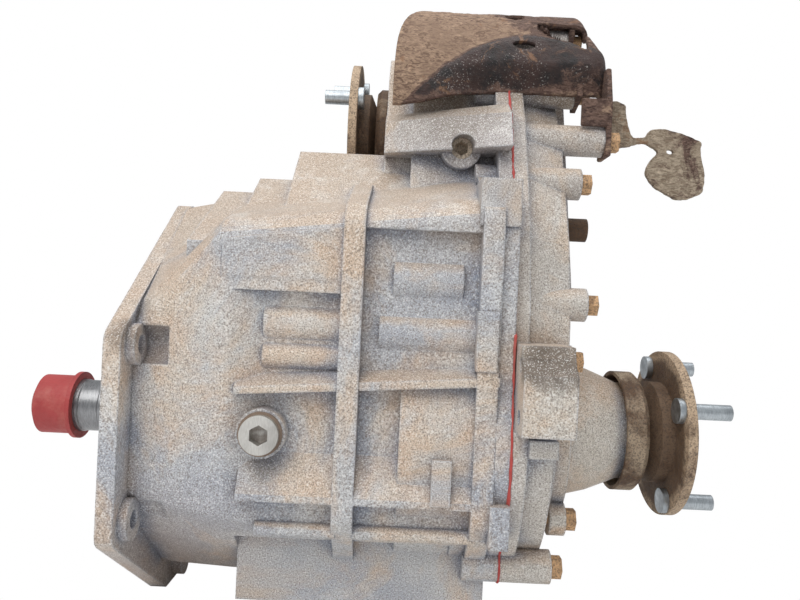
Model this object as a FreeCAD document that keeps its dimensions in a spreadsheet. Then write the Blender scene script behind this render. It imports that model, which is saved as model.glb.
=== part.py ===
"""Two-speed transfer case with a planetary low range and a chain-driven front output.

Frame, in millimetres: the origin is the centre of the adapter face on the main shaft axis.
+X runs along the shafts towards the rear output, +Z rises towards the front output shaft,
and -Y is the side with the ribbed panels and the filler plug.
"""

import FreeCAD, Part
import math
import os
import re

import Sketcher
from FreeCAD import Vector

# ---------------------------------------------------------------------------
# Driving dimensions. The sheet holds them, and every piece reads them from the sheet.
# ---------------------------------------------------------------------------
DIMENSIONS = {
    # fits
    "running_gap": 0.05,
    "seat_gap": 0.02,
    "side_gap": 0.5,
    "free_gap": 0.3,
    # chain drive: the links set the distance between the two shafts
    "chain_pitch": 9.525,
    "sprocket_teeth": 36,
    "chain_links": 82,
    "tower_lean": 19.19,
    "sprocket_face": 176,
    "sprocket_width": 24,
    "chain_back": 5,
    "tooth_play": 0.4,
    # adapter plate of the front case
    "plate_thick": 10,
    "plate_half_width": 102,
    "plate_shoulder_top": 56,
    "plate_shoulder_low": 60,
    "plate_top": 142,
    "plate_bottom": 122,
    "plate_corner": 8,
    "bolt_span_y": 168,
    "bolt_span_z": 100,
    "end_bolt_span": 44,
    "end_bolt_middle": 40,
    "end_bolt_top": 128,
    "end_bolt_bottom": 110,
    "adapter_hole_radius": 5.5,
    "adapter_boss_radius": 12,
    "adapter_boss_depth": 15,
    # front case body
    "joint_face": 227,
    "near_side": 90,
    "shoulder_face": 58,
    "panel_depth": 8,
    "joint_near": 84,
    "far_side": 98,
    "roof_top": 182,
    "sump_bottom": 101,
    "body_corner": 9,
    "case_wall": 8,
    "joint_band": 9,
    "joint_lip": 4,
    "joint_main_radius": 95,
    "joint_front_radius": 78,
    "hoop_width": 12,
    "hoop_height": 4,
    "front_hoop": 128,
    "rear_hoop": 206,
    "stringer_thick": 5,
    "stringer_start": 74,
    "stringer_rise": 20,
    "main_chamber_radius": 78,
    "front_chamber_radius": 66,
    "chamber_face": 112,
    "tower_face": 146,
    "tower_step": 172,
    "tower_nose_radius": 60,
    "bell_radius": 72,
    "bell_depth": 22,
    # input shaft, its bearing and cap
    "input_radius": 17.75,
    "input_front": 79,
    "input_collar_radius": 19.5,
    "input_bore_radius": 14,
    "input_bore_face": 70,
    "input_shoulder_radius": 30,
    "dog_face": 92,
    "dog_width": 8,
    "cap_length": 26,
    "cap_wall": 2,
    "cap_lip_radius": 22.5,
    "bearing_face": 27,
    "bearing_width": 18,
    "bearing_bore_radius": 20,
    "bearing_outer_radius": 40,
    "race_thick": 6,
    "retainer_thick": 4,
    "retainer_rim": 14,
    "retainer_bolt_room": 7,
    # planetary gearset
    "gear_module": 2.5,
    "sun_teeth": 30,
    "planet_teeth": 9,
    "ring_teeth": 48,
    "pressure_angle": 25,
    "gear_play": 0.3,
    "gear_addendum": 2.0,
    "gear_dedendum": 2.65,
    "ring_addendum": 1.6,
    "sun_face": 56,
    "sun_width": 26,
    "ring_face": 58,
    "ring_width": 22,
    "ring_radius": 69,
    "carrier_face": 50,
    "carrier_plate": 5.5,
    "carrier_gap": 0.5,
    "planet_pin_radius": 5,
    "carrier_radius": 57,
    # clutch splines, sleeves, forks and rails
    "spline_teeth": 16,
    "spline_root_radius": 28,
    "spline_tip_radius": 31,
    "sleeve_radius": 39,
    "sleeve_groove_radius": 35,
    "sleeve_length": 35,
    "sleeve_travel": 10,
    "fork_slot": 8,
    "fork_reach": 46,
    "rail_radius": 7,
    "range_rail_y": 62,
    "range_rail_z": -42,
    "drive_rail_y": 75,
    "drive_rail_z": 0,
    "range_hub_face": 103,
    "range_hub_width": 35,
    "drive_hub_face": 142,
    "drive_hub_width": 23,
    "drive_sleeve_length": 22,
    # output shafts
    "shaft_radius": 20,
    "journal_radius": 24,
    "pilot_radius": 10,
    "hub_radius": 22.5,
    "flange_radius": 55,
    "flange_thick": 6,
    "nut_pocket_radius": 26,
    "nut_pocket_depth": 10,
    "stud_circle": 93.34,
    "stud_count": 4,
    "stud_radius": 5,
    "knurl_lift": 0.3,
    "stud_head_radius": 8,
    "stud_head_thick": 4,
    "rear_stud_reach": 24.2,
    "front_stud_reach": 18,
    "rear_flange_face": 347.6,
    "front_flange_face": 118,
    "deflector_radius": 40,
    "deflector_length": 15,
    # rear case and extension
    "rear_case_face": 258,
    "cover_lift": 11,
    "cover_radius": 68,
    "cover_low": 82,
    "boss_lift": 14,
    "tail_bore_radius": 15,
    "tail_outer_radius": 31,
    "tail_width": 14,
    "rear_bearing_face": 240,
    "front_bearing_face": 156,
    "tail_bearing_face": 232,
    "extension_radius": 62,
    "extension_flange": 10,
    "extension_neck_radius": 35,
    "extension_end": 319,
    "extension_wall": 6,
    "extension_bolt_circle": 138,
    "extension_bolt_count": 4,
    "seal_width": 8,
    "bead_thick": 1,
    "bead_width": 5,
    "bolt_radius": 4,
    "bolt_head_across": 12,
    "bolt_head_tall": 7,
    "boss_radius": 10,
    # filler and upper plugs
    "filler_x": 86.6,
    "filler_z": 3.8,
    "filler_hex": 10,
    "filler_radius": 11,
    "upper_plug_x": 196,
    "upper_plug_z": 181,
    "upper_plug_y": -34,
    "upper_plug_radius": 7,
    "filler_thread_radius": 9,
    "gasket_thick": 1.5,
    "detent_y": 4,
    "detent_z": 136,
    "detent_radius": 8,
    "detent_reach": 18,
    # pad block on the rear case
    "pad_reach": 118,
    "pad_low": 12.7,
    "pad_step": 42,
    "pad_high": 60.6,
    # guard over the front output
    "guard_radius": 96,
    "guard_thick": 3.5,
    "guard_face": 146,
    "guard_end": 292.5,
    "arm_bolt_y": -20,
    "arm_bolt_z": 192,
    "guard_start": 10,
    "guard_sweep": 160,
    "tail_y": -12,
    "tail_radius": 20,
    "tail_reach": 50.5,
    "tail_drop": 29,
}

doc = FreeCAD.newDocument("transfer_case")
sheet = doc.addObject("Spreadsheet::Sheet", "Sizes")
for row, (alias, value) in enumerate(DIMENSIONS.items(), start=1):
    sheet.set("A%d" % row, alias)
    sheet.set("B%d" % row, str(value))
    sheet.setAlias("B%d" % row, alias)
doc.recompute()


class SheetSizes:
    """The sheet's values as attributes, for shapes worked out by functions."""


size = SheetSizes()
for alias in DIMENSIONS:
    setattr(size, alias, float(sheet.get(alias)))

# worked out from the driving dimensions
CENTRES = (size.chain_links - size.sprocket_teeth) / 2 * size.chain_pitch
LEAN = math.radians(size.tower_lean)
FRONT_Y = CENTRES * math.sin(LEAN)
FRONT_Z = CENTRES * math.cos(LEAN)
FRONT_Y_TEXT = "((chain_links - sprocket_teeth) / 2 * chain_pitch * sin(tower_lean * 1deg))"
FRONT_Z_TEXT = "((chain_links - sprocket_teeth) / 2 * chain_pitch * cos(tower_lean * 1deg))"
PLANET_COUNT = 3
SUN_PITCH = size.sun_teeth * size.gear_module / 2
PLANET_PITCH = size.planet_teeth * size.gear_module / 2
RING_PITCH = size.ring_teeth * size.gear_module / 2
PIN_CIRCLE = SUN_PITCH + PLANET_PITCH


def sheet_words(text):
    """The expression with the sheet's name before each alias."""
    return re.sub(r"[a-z_]+", lambda m: "Sizes." + m.group() if m.group() in DIMENSIONS else m.group(), text)


def bind(thing, prop, text):
    """Tie a property to an expression of the sheet's aliases."""
    thing.setExpression(prop, sheet_words(text))


# ---------------------------------------------------------------------------
# Parametric helpers: turned bodies, primitives and booleans
# ---------------------------------------------------------------------------
def origin_plane(body, role):
    return [item for item in body.Origin.OriginFeatures if item.Role == role][0]


def closed_sketch(body, name, role, corners):
    """A sketch polygon whose corners are pairs of expressions, measured from the body's origin."""
    sketch = body.newObject("Sketcher::SketchObject", name)
    sketch.AttachmentSupport = [(origin_plane(body, role), "")]
    sketch.MapMode = "FlatFace"
    count = len(corners)
    guess = []
    for k in range(count):
        turn = 2 * math.pi * k / count
        guess.append((20 + 10 * math.cos(turn), 20 + 10 * math.sin(turn)))
    for k in range(count):
        start = Vector(guess[k][0], guess[k][1], 0)
        end = Vector(guess[(k + 1) % count][0], guess[(k + 1) % count][1], 0)
        sketch.addGeometry(Part.LineSegment(start, end), False)
    for k in range(count):
        sketch.addConstraint(Sketcher.Constraint("Coincident", k, 2, (k + 1) % count, 1))
    for k, (across, up) in enumerate(corners):
        first = sketch.addConstraint(Sketcher.Constraint("DistanceX", -1, 1, k, 1, guess[k][0]))
        second = sketch.addConstraint(Sketcher.Constraint("DistanceY", -1, 1, k, 1, guess[k][1]))
        bind(sketch, "Constraints[%d]" % first, across)
        bind(sketch, "Constraints[%d]" % second, up)
    return sketch


def turned(label, corners, axis=None):
    """A body turned about its own X axis from (place along X, radius) corners."""
    body = doc.addObject("PartDesign::Body", label)
    sketch = closed_sketch(body, label + "_profile", "XZ_Plane", corners)
    turn = body.newObject("PartDesign::Revolution", label + "_turn")
    turn.Profile = sketch
    turn.ReferenceAxis = (sketch, ["H_Axis"])
    turn.Angle = 360
    if axis == "front":
        bind(body, "Placement.Base.y", FRONT_Y_TEXT)
        bind(body, "Placement.Base.z", FRONT_Z_TEXT)
    return body


def ring(label, x0, x1, inner, outer, axis=None):
    """A plain turned ring between two places along X and two radii."""
    return turned(label, [(x0, inner), (x1, inner), (x1, outer), (x0, outer)], axis)


def plate(label, role, corners, length, offset="0"):
    """A padded polygon, starting the offset along the plane's normal."""
    body = doc.addObject("PartDesign::Body", label)
    sketch = closed_sketch(body, label + "_outline", role, corners)
    bind(sketch, "AttachmentOffset.Base.z", offset)
    pad = body.newObject("PartDesign::Pad", label + "_pad")
    pad.Profile = sketch
    bind(pad, "Length", length)
    return body


def bar(label, x0, length, radius, y="0", z="0"):
    """A Part cylinder along X."""
    item = doc.addObject("Part::Cylinder", label)
    item.Placement = FreeCAD.Placement(Vector(0, 0, 0), FreeCAD.Rotation(Vector(0, 1, 0), 90))
    bind(item, "Radius", radius)
    bind(item, "Height", length)
    bind(item, "Placement.Base.x", x0)
    bind(item, "Placement.Base.y", y)
    bind(item, "Placement.Base.z", z)
    return item


def hexagon(label, length, across, place, direction):
    """A hexagonal prism of the given size across flats, along a direction."""
    item = doc.addObject("Part::Prism", label)
    item.Polygon = 6
    item.Placement = FreeCAD.Placement(Vector(0, 0, 0), FreeCAD.Rotation(Vector(0, 0, 1), direction))
    bind(item, "Circumradius", "(%s) / sqrt(3)" % across)
    bind(item, "Height", length)
    for axis, text in zip("xyz", place):
        bind(item, "Placement.Base." + axis, text)
    return item


def worked(label, shape):
    """A feature whose shape the functions below work out from the sheet's values."""
    item = doc.addObject("Part::Feature", label)
    item.Shape = shape
    return item


def joined(label, items):
    item = doc.addObject("Part::MultiFuse", label)
    item.Shapes = items
    item.Refine = True
    return item


def less(label, base, tool):
    item = doc.addObject("Part::Cut", label)
    item.Base = base
    item.Tool = tool
    return item


# ---------------------------------------------------------------------------
# Shape functions
# ---------------------------------------------------------------------------
def rod(x0, x1, radius, y=0.0, z=0.0):
    return Part.makeCylinder(radius, x1 - x0, Vector(x0, y, z), Vector(1, 0, 0))


def block(x0, x1, y0, y1, z0, z1):
    return Part.makeBox(x1 - x0, y1 - y0, z1 - z0, Vector(x0, y0, z0))


def rounded_points(points, radius):
    """The polygon with each corner cut back to a short chord pair along its rounding arc."""
    spots = [Vector(0, y, z) for y, z in points]
    count = len(spots)
    eased = []
    for k, spot in enumerate(spots):
        to_last = spots[k - 1] - spot
        to_next = spots[(k + 1) % count] - spot
        half = to_last.getAngle(to_next) / 2
        reach = min(radius / math.tan(half), 0.45 * min(to_last.Length, to_next.Length))
        to_last.normalize()
        to_next.normalize()
        inward = to_last + to_next
        inward.normalize()
        bend = reach * math.tan(half)
        for place in (
            spot + to_last * reach,
            spot + inward * (bend / math.sin(half) - bend),
            spot + to_next * reach,
        ):
            eased.append((place.y, place.z))
    return eased


def rounded_wire(x, points, radius):
    return polygon_wire(x, rounded_points(points, radius))


def polygon_wire(x, points):
    spots = [Vector(x, y, z) for y, z in points]
    return Part.makePolygon(spots + [spots[0]])


def prism(wire, length):
    return Part.Face(wire).extrude(Vector(length, 0, 0))


def belt_wire(x, main_radius, front_radius, low=0.0):
    """The outline round two circles with its tangents: one on the front axis, and one on the main
    axis or the low distance up from it towards the front axis."""
    apart = CENTRES - low
    along = Vector(0, math.sin(LEAN), math.cos(LEAN))
    across = Vector(0, math.cos(LEAN), -math.sin(LEAN))
    cosine = (main_radius - front_radius) / apart
    sine = math.sqrt(1 - cosine * cosine)
    start = Vector(x, 0, 0) + along * low
    end = start + along * apart
    right = along * cosine + across * sine
    left = along * cosine - across * sine
    low_right = start + right * main_radius
    low_left = start + left * main_radius
    high_right = end + right * front_radius
    high_left = end + left * front_radius
    edges = [
        Part.Arc(low_left, start - along * main_radius, low_right).toShape(),
        Part.LineSegment(low_right, high_right).toShape(),
        Part.Arc(high_right, end + along * front_radius, high_left).toShape(),
        Part.LineSegment(high_left, low_left).toShape(),
    ]
    return Part.Wire(edges)


def belt(x0, x1, main_radius, front_radius, low=0.0):
    return prism(belt_wire(x0, main_radius, front_radius, low), x1 - x0)


def fuse_all(shapes):
    return shapes[0].multiFuse(shapes[1:])


def compound(shapes):
    return Part.makeCompound(shapes)


# ---------------------------------------------------------------------------
# Teeth
# ---------------------------------------------------------------------------
def involute(angle):
    return math.tan(angle) - angle


def involute_points(teeth, root, tip, play, phase=0.0):
    """The outline of a gear, as (y, z) points.

    Each flank is the involute of the base circle, taken at three radii, and the tooth is
    thinner than half a pitch by the play. A negative play gives the spaces of a ring gear.
    """
    pitch = teeth * size.gear_module / 2
    pressure = math.radians(size.pressure_angle)
    base = pitch * math.cos(pressure)
    half_pitch = math.pi / (2 * teeth) - play / (2 * pitch)
    radii = [root, max(base, root + 0.25 * (tip - root)), pitch, tip]
    points = []
    for k in range(int(teeth)):
        middle = phase + 2 * math.pi * k / teeth
        flank = []
        for radius in radii:
            lean = math.acos(min(1.0, base / max(radius, base)))
            flank.append((radius, half_pitch + involute(pressure) - involute(lean)))
        for radius, half in flank:
            points.append((radius * math.cos(middle - half), radius * math.sin(middle - half)))
        for radius, half in reversed(flank):
            points.append((radius * math.cos(middle + half), radius * math.sin(middle + half)))
    return points


def straight_teeth(teeth, root, tip, root_width, tip_width, phase=0.0):
    """An outline of straight-sided teeth with the given widths at root and tip."""
    points = []
    for k in range(int(teeth)):
        middle = phase + 2 * math.pi * k / teeth
        for radius, width, side in (
            (root, root_width, -1),
            (tip, tip_width, -1),
            (tip, tip_width, 1),
            (root, root_width, 1),
        ):
            angle = middle + side * width / (2 * radius)
            points.append((radius * math.cos(angle), radius * math.sin(angle)))
    return points


def toothed(x0, x1, points, y=0.0, z=0.0):
    shape = prism(polygon_wire(x0, points), x1 - x0)
    shape.translate(Vector(0, y, z))
    return shape


def spline_points(gap=0.0):
    """The clutch spline, or with a gap the slots that run on it."""
    pitch = 2 * math.pi * size.spline_root_radius / size.spline_teeth
    width = pitch / 2 - size.running_gap
    return straight_teeth(
        size.spline_teeth,
        size.spline_root_radius + gap,
        size.spline_tip_radius + gap,
        width + 2 * gap,
        width + 2 * gap,
    )


# ---------------------------------------------------------------------------
# Front case
# ---------------------------------------------------------------------------
def plate_points():
    middle = size.end_bolt_middle
    half = size.end_bolt_span / 2
    wide = size.plate_half_width
    return [
        (-wide, -size.plate_shoulder_low),
        (-wide, size.plate_shoulder_top),
        (middle - half, size.plate_top),
        (middle + half, size.plate_top),
        (wide + 6, size.plate_shoulder_top),
        (wide + 6, -size.plate_shoulder_low),
        (middle + half, -size.plate_bottom),
        (middle / 2 - half, -size.plate_bottom),
    ]


def section_points(x):
    """The body's section at a station: inside the adapter plate's outline, then fuller behind it."""
    share = max(0.0, (x - size.shoulder_face) / (size.joint_face - size.shoulder_face))
    fade = max(0.0, (size.shoulder_face - x) / (size.shoulder_face - size.plate_thick))
    near = -size.near_side + 7 * fade
    far = size.far_side
    ridge = 116 + 20 * share
    top = 150 + 32 * share
    return [
        (near, -44 + 8 * fade),
        (near, ridge - 56 * fade),
        (near + 10, ridge + 8 - 50 * fade),
        (10, top - 10 * fade),
        (66, top - 10 * fade),
        (far, 76 + 18 * share - 8 * fade),
        (far, -44),
        (54, -size.sump_bottom),
        (-16 + 6 * fade, -size.sump_bottom),
        (near + 26, -68 + 4 * fade),
    ]


def body_wire(x):
    return rounded_wire(x, section_points(x), size.body_corner)


def wedge(x0, outline0, x1, outline1):
    """A solid between two outlines of (y, z) corners, one at each station."""
    ends = [polygon_wire(x0, outline0), polygon_wire(x1, outline1)]
    return Part.makeLoft(ends, True, True)


def shoulder(x0, x1, inset, lean_in=0.0):
    """The near side of the joint, where the cases stand wider than the circles round the shafts."""
    def corners(inward):
        near = -size.joint_near + inward
        return [
            (near, 20 + inward),
            (near, 78 - inward / 2),
            (near + 12, 126 - inward / 2),
            (near + 30, 162 - inward / 2),
            (near + 50, 200 - inward / 2),
            (near + 76, 234 - inward),
            (60, 200),
            (20, 24 + inward),
        ]

    return wedge(x0, corners(inset), x1, corners(inset + lean_in))


def near_ribs():
    """The ribs, bulges, pads and lugs of the front case's near side."""
    rim = -size.near_side - size.hoop_height
    floor = -size.near_side + size.panel_depth
    x0 = size.stringer_start
    x1 = size.joint_face - 8
    pieces = []
    low = [(-60, -8), (floor, -8), (rim, -30), (rim, -34), (-60, -34)]
    pieces.append(wedge(x0, low, x1, low))
    mid0 = [(-60, 36), (floor, 36), (rim + 2, 29), (rim + 2, 25), (-60, 25)]
    mid1 = [(-60, 46), (floor, 46), (rim, 41), (rim, 36), (-60, 36)]
    pieces.append(wedge(x0 - 4, mid0, x1, mid1))
    panel0 = [(-60, 86), (rim + 6, 86), (rim + 3, 92), (rim + 3, 112), (-60, 122)]
    panel1 = [(-60, 86), (rim + 6, 86), (rim + 3, 92), (rim + 3, 122), (-60, 132)]
    pieces.append(wedge(60, panel0, size.front_hoop + 2, panel1))
    for start, end, z, radius in ((84, 130, 66, 12), (84, 130, 47, 8), (157, 197, 94, 13), (150, 206, 63, 12)):
        pieces.append(rod(start, end, radius, floor + radius - 4.5, z))
    for start, end, z in ((84, 130, -52), (140, x1, -52)):
        pieces.append(rod(start, end, 4, floor - 1, z))
    pads = (
        (204, 227, -62, rim + 2, 126, 153),
        (205, 217, -70, rim - 1, 44, 78),
        (183, 194, -70, rim - 2, -32, -6),
        (216, 227, -70, rim - 4, -54, -30),
    )
    for start, end, inner, outer, z0, z1 in pads:
        pieces.append(block(start, end, outer, inner, z0, z1))
    pieces.append(block(x0 - 4, x1, -60, -10, -size.sump_bottom - 2, -60))
    return pieces


def near_pockets():
    """What is sunk into the near side between the ribs: each entry is a bay's ends and heights."""
    floor = -size.near_side + size.panel_depth
    out = -size.near_side - 20
    bays = (
        (66, size.front_hoop, -72, 84, 20),
        (size.front_hoop + size.hoop_width, size.rear_hoop, -72, 122, 0),
    )
    cuts = []
    for x0, x1, z0, z1, slope in bays:
        mouth = [(out, z0), (floor, z0), (floor, z1), (out, z1)]
        cuts.append(wedge(x0 + slope, mouth, x1, mouth))
        if slope:
            shallow = [(out, z0), (-size.near_side, z0), (-size.near_side, z1), (out, z1)]
            cuts.append(wedge(x0, shallow, x0 + slope, mouth))
    low = [(out, -80), (-60, -80), (-60, -61), (out, -61)]
    cuts.append(wedge(70, low, size.joint_face - 30, low))
    return cuts


def body_slice(x0, x1, height):
    """A hoop round the body, standing the height out of it."""
    face = Part.Face(body_wire((x0 + x1) / 2)).makeOffset2D(height)
    wire = face.OuterWire
    wire.translate(Vector(x0 - (x0 + x1) / 2, 0, 0))
    return prism(wire, x1 - x0)


def adapter_places():
    y = size.bolt_span_y / 2
    z = size.bolt_span_z / 2
    return [(-y, -z), (-y, z), (y, -z), (y, z)]


def end_bolt_places():
    """Two bolts along the top of the adapter plate and two along its bottom."""
    middle = size.end_bolt_middle
    half = size.end_bolt_span / 2
    places = []
    for z in (size.end_bolt_top, -size.end_bolt_bottom):
        places.append((middle - half, z))
        places.append((middle + half, z))
    return places


def case_bolt_places():
    """Joint bolts round the two axes and along both sides, as (y, z)."""
    places = []
    for turn in (-129, -85, -45, 12):
        angle = math.radians(turn)
        reach = size.joint_main_radius + 1
        places.append((reach * math.cos(angle), reach * math.sin(angle)))
    places += [(119, 75), (-62, 84), (-34, 161), (size.arm_bolt_y, size.arm_bolt_z)]
    for turn in (-12, 35, 80, 125, 165):
        angle = math.radians(turn)
        reach = size.joint_front_radius + 1
        places.append((FRONT_Y + reach * math.cos(angle), FRONT_Z + reach * math.sin(angle)))
    return places


def guard_bolt_numbers():
    """Which of the joint bolts hold the guard: the last ones, over the top of the front shaft."""
    last = len(case_bolt_places())
    return range(last - 3, last)


def stringer(z, rise, thick):
    """A rib along the body's far side, rising towards the joint."""
    run = size.joint_face - size.stringer_start
    depth = 24
    y0 = size.far_side + size.hoop_height - depth
    shape = Part.makeBox(run, depth, thick, Vector(size.stringer_start, y0, z - thick / 2))
    shape.rotate(Vector(size.stringer_start, 0, z), Vector(0, 1, 0), -math.degrees(math.atan2(rise, run)))
    return shape


def front_casting():
    thick = size.plate_thick
    joint = size.joint_face
    front_part = Part.makeLoft([body_wire(thick - 1), body_wire(size.shoulder_face)], True, True)
    rear_part = Part.makeLoft([body_wire(size.shoulder_face), body_wire(joint)], True, True)
    shell = fuse_all([front_part, rear_part]).cut(near_pockets())
    pieces = [prism(rounded_wire(0, plate_points(), size.plate_corner), thick), shell]
    for y, z in adapter_places():
        pieces.append(rod(thick - 1, size.adapter_boss_depth, size.adapter_boss_radius, y, z))
    for y, z in end_bolt_places():
        pieces.append(rod(thick - 1, size.adapter_boss_depth + 2, size.adapter_boss_radius - 2.5, y, z))
    roof = [(35, 60, 152), (60, 87, 162), (87, joint, size.roof_top)]
    for x0, x1, top in roof:
        low = 108 + 0.1 * x0
        outline = [(-74, low), (6, top), (68, top), (size.far_side, low), (size.far_side, 90), (-74, 90)]
        pieces.append(prism(polygon_wire(x0, outline), x1 - x0))
    pieces.append(belt(size.tower_face, joint, size.main_chamber_radius + 2, size.tower_nose_radius))
    wall = size.tower_step - size.case_wall
    pieces.append(belt(wall, joint, size.joint_main_radius - 3, size.joint_front_radius - 4))
    pieces.append(belt(joint - size.joint_band, joint, size.joint_main_radius, size.joint_front_radius))
    pieces.append(shoulder(joint - size.joint_band, joint, 0))
    for x0 in (size.front_hoop, size.rear_hoop):
        pieces.append(body_slice(x0, x0 + size.hoop_width, size.hoop_height))
    nose0 = [(-22, 178), (-16, 200), (-4, 207), (60, 207), (60, 178)]
    nose1 = [(-62, 178), (-48, 202), (-30, 212), (60, 212), (60, 178)]
    pieces.append(wedge(size.tower_face, nose0, joint - 2, nose1))
    pieces.append(stringer(24, size.stringer_rise, size.stringer_thick))
    pieces.append(stringer(-28, 0, size.stringer_thick))
    pieces += near_ribs()
    for y, z in case_bolt_places():
        pieces.append(rod(joint - 22, joint, size.boss_radius, y, z))
    near = -size.near_side - size.hoop_height
    pieces.append(side_rod(size.filler_x, size.filler_z, near, near + 20, size.filler_radius + 3))
    plug = size.upper_plug_y
    pieces.append(side_rod(size.upper_plug_x, size.upper_plug_z, plug, plug + 30, size.filler_radius + 2))
    return fuse_all(pieces)


def front_hollows():
    """Everything taken out of the front casting."""
    wide = 1
    gap = size.seat_gap
    web = size.bell_depth
    seat = size.bearing_face + size.bearing_width
    cuts = [
        rod(-wide, web, size.bell_radius),
        rod(web - wide, seat, size.bearing_outer_radius + gap),
        rod(seat - wide, seat + 4, size.bearing_outer_radius - size.race_thick),
        rod(seat + 3, size.ring_face, size.ring_radius - 5),
        rod(size.ring_face, size.chamber_face + wide, size.ring_radius + gap),
        rod(size.chamber_face, size.joint_face + wide, size.main_chamber_radius),
        belt(
            size.tower_step,
            size.joint_face + wide,
            size.main_chamber_radius,
            size.front_chamber_radius,
        ),
    ]
    for y, z in end_bolt_places():
        cuts.append(rod(-wide, size.adapter_boss_depth + wide, size.adapter_hole_radius, y, z))
    for y, z in adapter_places():
        cuts.append(rod(-wide, size.adapter_boss_depth + wide, size.adapter_hole_radius, y, z))
        cuts.append(rod(size.adapter_boss_depth, size.adapter_boss_depth + 16, size.adapter_boss_radius - 1, y, z))
    for y, z in rail_places():
        cuts.append(rod(size.chamber_face - 24, size.joint_face + wide, size.rail_radius + size.running_gap, y, z))
        cuts.append(rod(size.chamber_face, size.joint_face + wide, size.rail_radius + 4, y, z))
    relief = size.flange_radius + 5
    cuts.append(rod(size.front_flange_face - 30, size.tower_face, relief, FRONT_Y, FRONT_Z))
    front = size.front_bearing_face
    cuts.append(rod(front, size.tower_step + wide, size.bearing_outer_radius + gap, FRONT_Y, FRONT_Z))
    cuts.append(rod(size.tower_face - wide, front + wide, size.hub_radius + 9 + gap, FRONT_Y, FRONT_Z))
    for y, z in case_bolt_places():
        cuts.append(rod(size.joint_face - 16, size.joint_face + wide, size.bolt_radius + gap, y, z))
    for y, z in retainer_bolt_places():
        cuts.append(rod(size.bell_depth - wide, size.bell_depth + 12, size.bolt_radius + gap, y, z))
    cuts.append(side_rod(size.filler_x, size.filler_z, -size.near_side - 20, -size.near_side + 14, size.filler_thread_radius + gap))
    plug = size.upper_plug_y
    cuts.append(
        side_rod(size.upper_plug_x, size.upper_plug_z, plug - 20, plug + 12, size.upper_plug_radius + gap)
    )
    return cuts


def side_rod(x, z, y0, y1, radius):
    """A rod across the case, along Y."""
    return Part.makeCylinder(radius, y1 - y0, Vector(x, y0, z), Vector(0, 1, 0))


def retainer_bolt_places():
    reach = (size.bearing_outer_radius + size.retainer_bolt_room) * math.sqrt(0.5)
    return [(-reach, -reach), (-reach, reach), (reach, -reach), (reach, reach)]


def rail_places():
    return [(size.range_rail_y, size.range_rail_z), (size.drive_rail_y, size.drive_rail_z)]



# ---------------------------------------------------------------------------
# Rear case, guard and bolts
# ---------------------------------------------------------------------------
def bolt_seat(z):
    """Where the joint bolts' heads sit: low ones on the rear face, the guard arm's one far out."""
    if z < -60:
        return size.rear_case_face
    if z == size.arm_bolt_z:
        return size.guard_end - size.guard_thick
    return size.rear_case_face + size.boss_lift


def rear_casting():
    joint = size.joint_face
    face = size.rear_case_face
    pieces = [
        belt(joint, joint + size.joint_band, size.joint_main_radius, size.joint_front_radius),
        belt(joint, face - 6, size.joint_main_radius - 7, size.joint_front_radius - 7),
        belt(joint, face + size.cover_lift, size.cover_radius, size.cover_radius - 4, size.cover_low),
        shoulder(joint, joint + size.joint_band, 0),
        shoulder(joint + size.joint_band - 1, face + 4, 7, 6),
        rod(joint, face, size.extension_radius + 6),
    ]
    for y, z in case_bolt_places():
        pieces.append(rod(joint, bolt_seat(z), size.boss_radius, y, z))
    for y, z in rail_places():
        pieces.append(rod(joint, face, size.rail_radius + 5, y, z))
    pieces.append(block(joint + 1, face - 1, -size.pad_reach, -70, size.pad_low, size.pad_high))
    pieces.append(block(joint + 9, face - 6, -size.joint_main_radius - 5, -80, -2, 8))
    return fuse_all(pieces)


def rear_hollows():
    joint = size.joint_face
    face = size.rear_case_face
    gap = size.seat_gap
    wide = 1
    boss = size.bearing_outer_radius + 8
    room = belt(joint - wide, face - 13, size.main_chamber_radius, size.front_chamber_radius)
    keep = [rod(joint + 5, face, boss), rod(joint + 4, face, 38, FRONT_Y, FRONT_Z)]
    for y, z in rail_places():
        keep.append(rod(joint + 9, face, size.rail_radius + 5, y, z))
    deep = belt(
        joint + 10,
        face + size.cover_lift - size.case_wall,
        size.cover_radius - size.case_wall,
        size.cover_radius - 4 - size.case_wall,
        size.cover_low,
    )
    deep = deep.cut([rod(joint, face + 30, size.extension_radius + 6), rod(joint, face, 38, FRONT_Y, FRONT_Z)])
    cuts = [
        room.cut(keep),
        deep.cut(keep),
        rod(face, face + 30, size.extension_radius + 1),
        shoulder(joint + 10, face - size.case_wall, 18, 6).cut([rod(joint, face + 30, boss), *keep]),
        rod(size.rear_bearing_face, face + wide, size.bearing_outer_radius + gap),
        rod(joint, face, size.bearing_outer_radius - size.race_thick),
        rod(joint, size.tail_bearing_face + size.tail_width, size.tail_outer_radius + gap, FRONT_Y, FRONT_Z),
    ]
    for y, z in case_bolt_places():
        cuts.append(rod(joint - wide, bolt_seat(z) + wide, size.bolt_radius + gap, y, z))
    for y, z in rail_places():
        cuts.append(rod(joint - wide, face - 3, size.rail_radius + size.running_gap, y, z))
    for y, z in extension_bolt_places():
        cuts.append(rod(face - 14, face + wide, size.bolt_radius + gap, y, z))
        cuts.append(rod(face, face + 30, size.boss_radius + 1, y, z))
    for z in (21.6, 50):
        cuts.append(rod(joint, joint + 20, size.bolt_radius + 0.25, -size.pad_reach + 12, z))
    cuts.append(rod(joint - wide, face + wide, 19, -size.pad_reach - 8, size.pad_high + 2))
    return cuts


def extension_bolt_places():
    reach = size.extension_bolt_circle / 2
    places = []
    for k in range(int(size.extension_bolt_count)):
        angle = 2 * math.pi * (k + 0.5) / size.extension_bolt_count
        places.append((reach * math.cos(angle), reach * math.sin(angle)))
    return places


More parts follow.
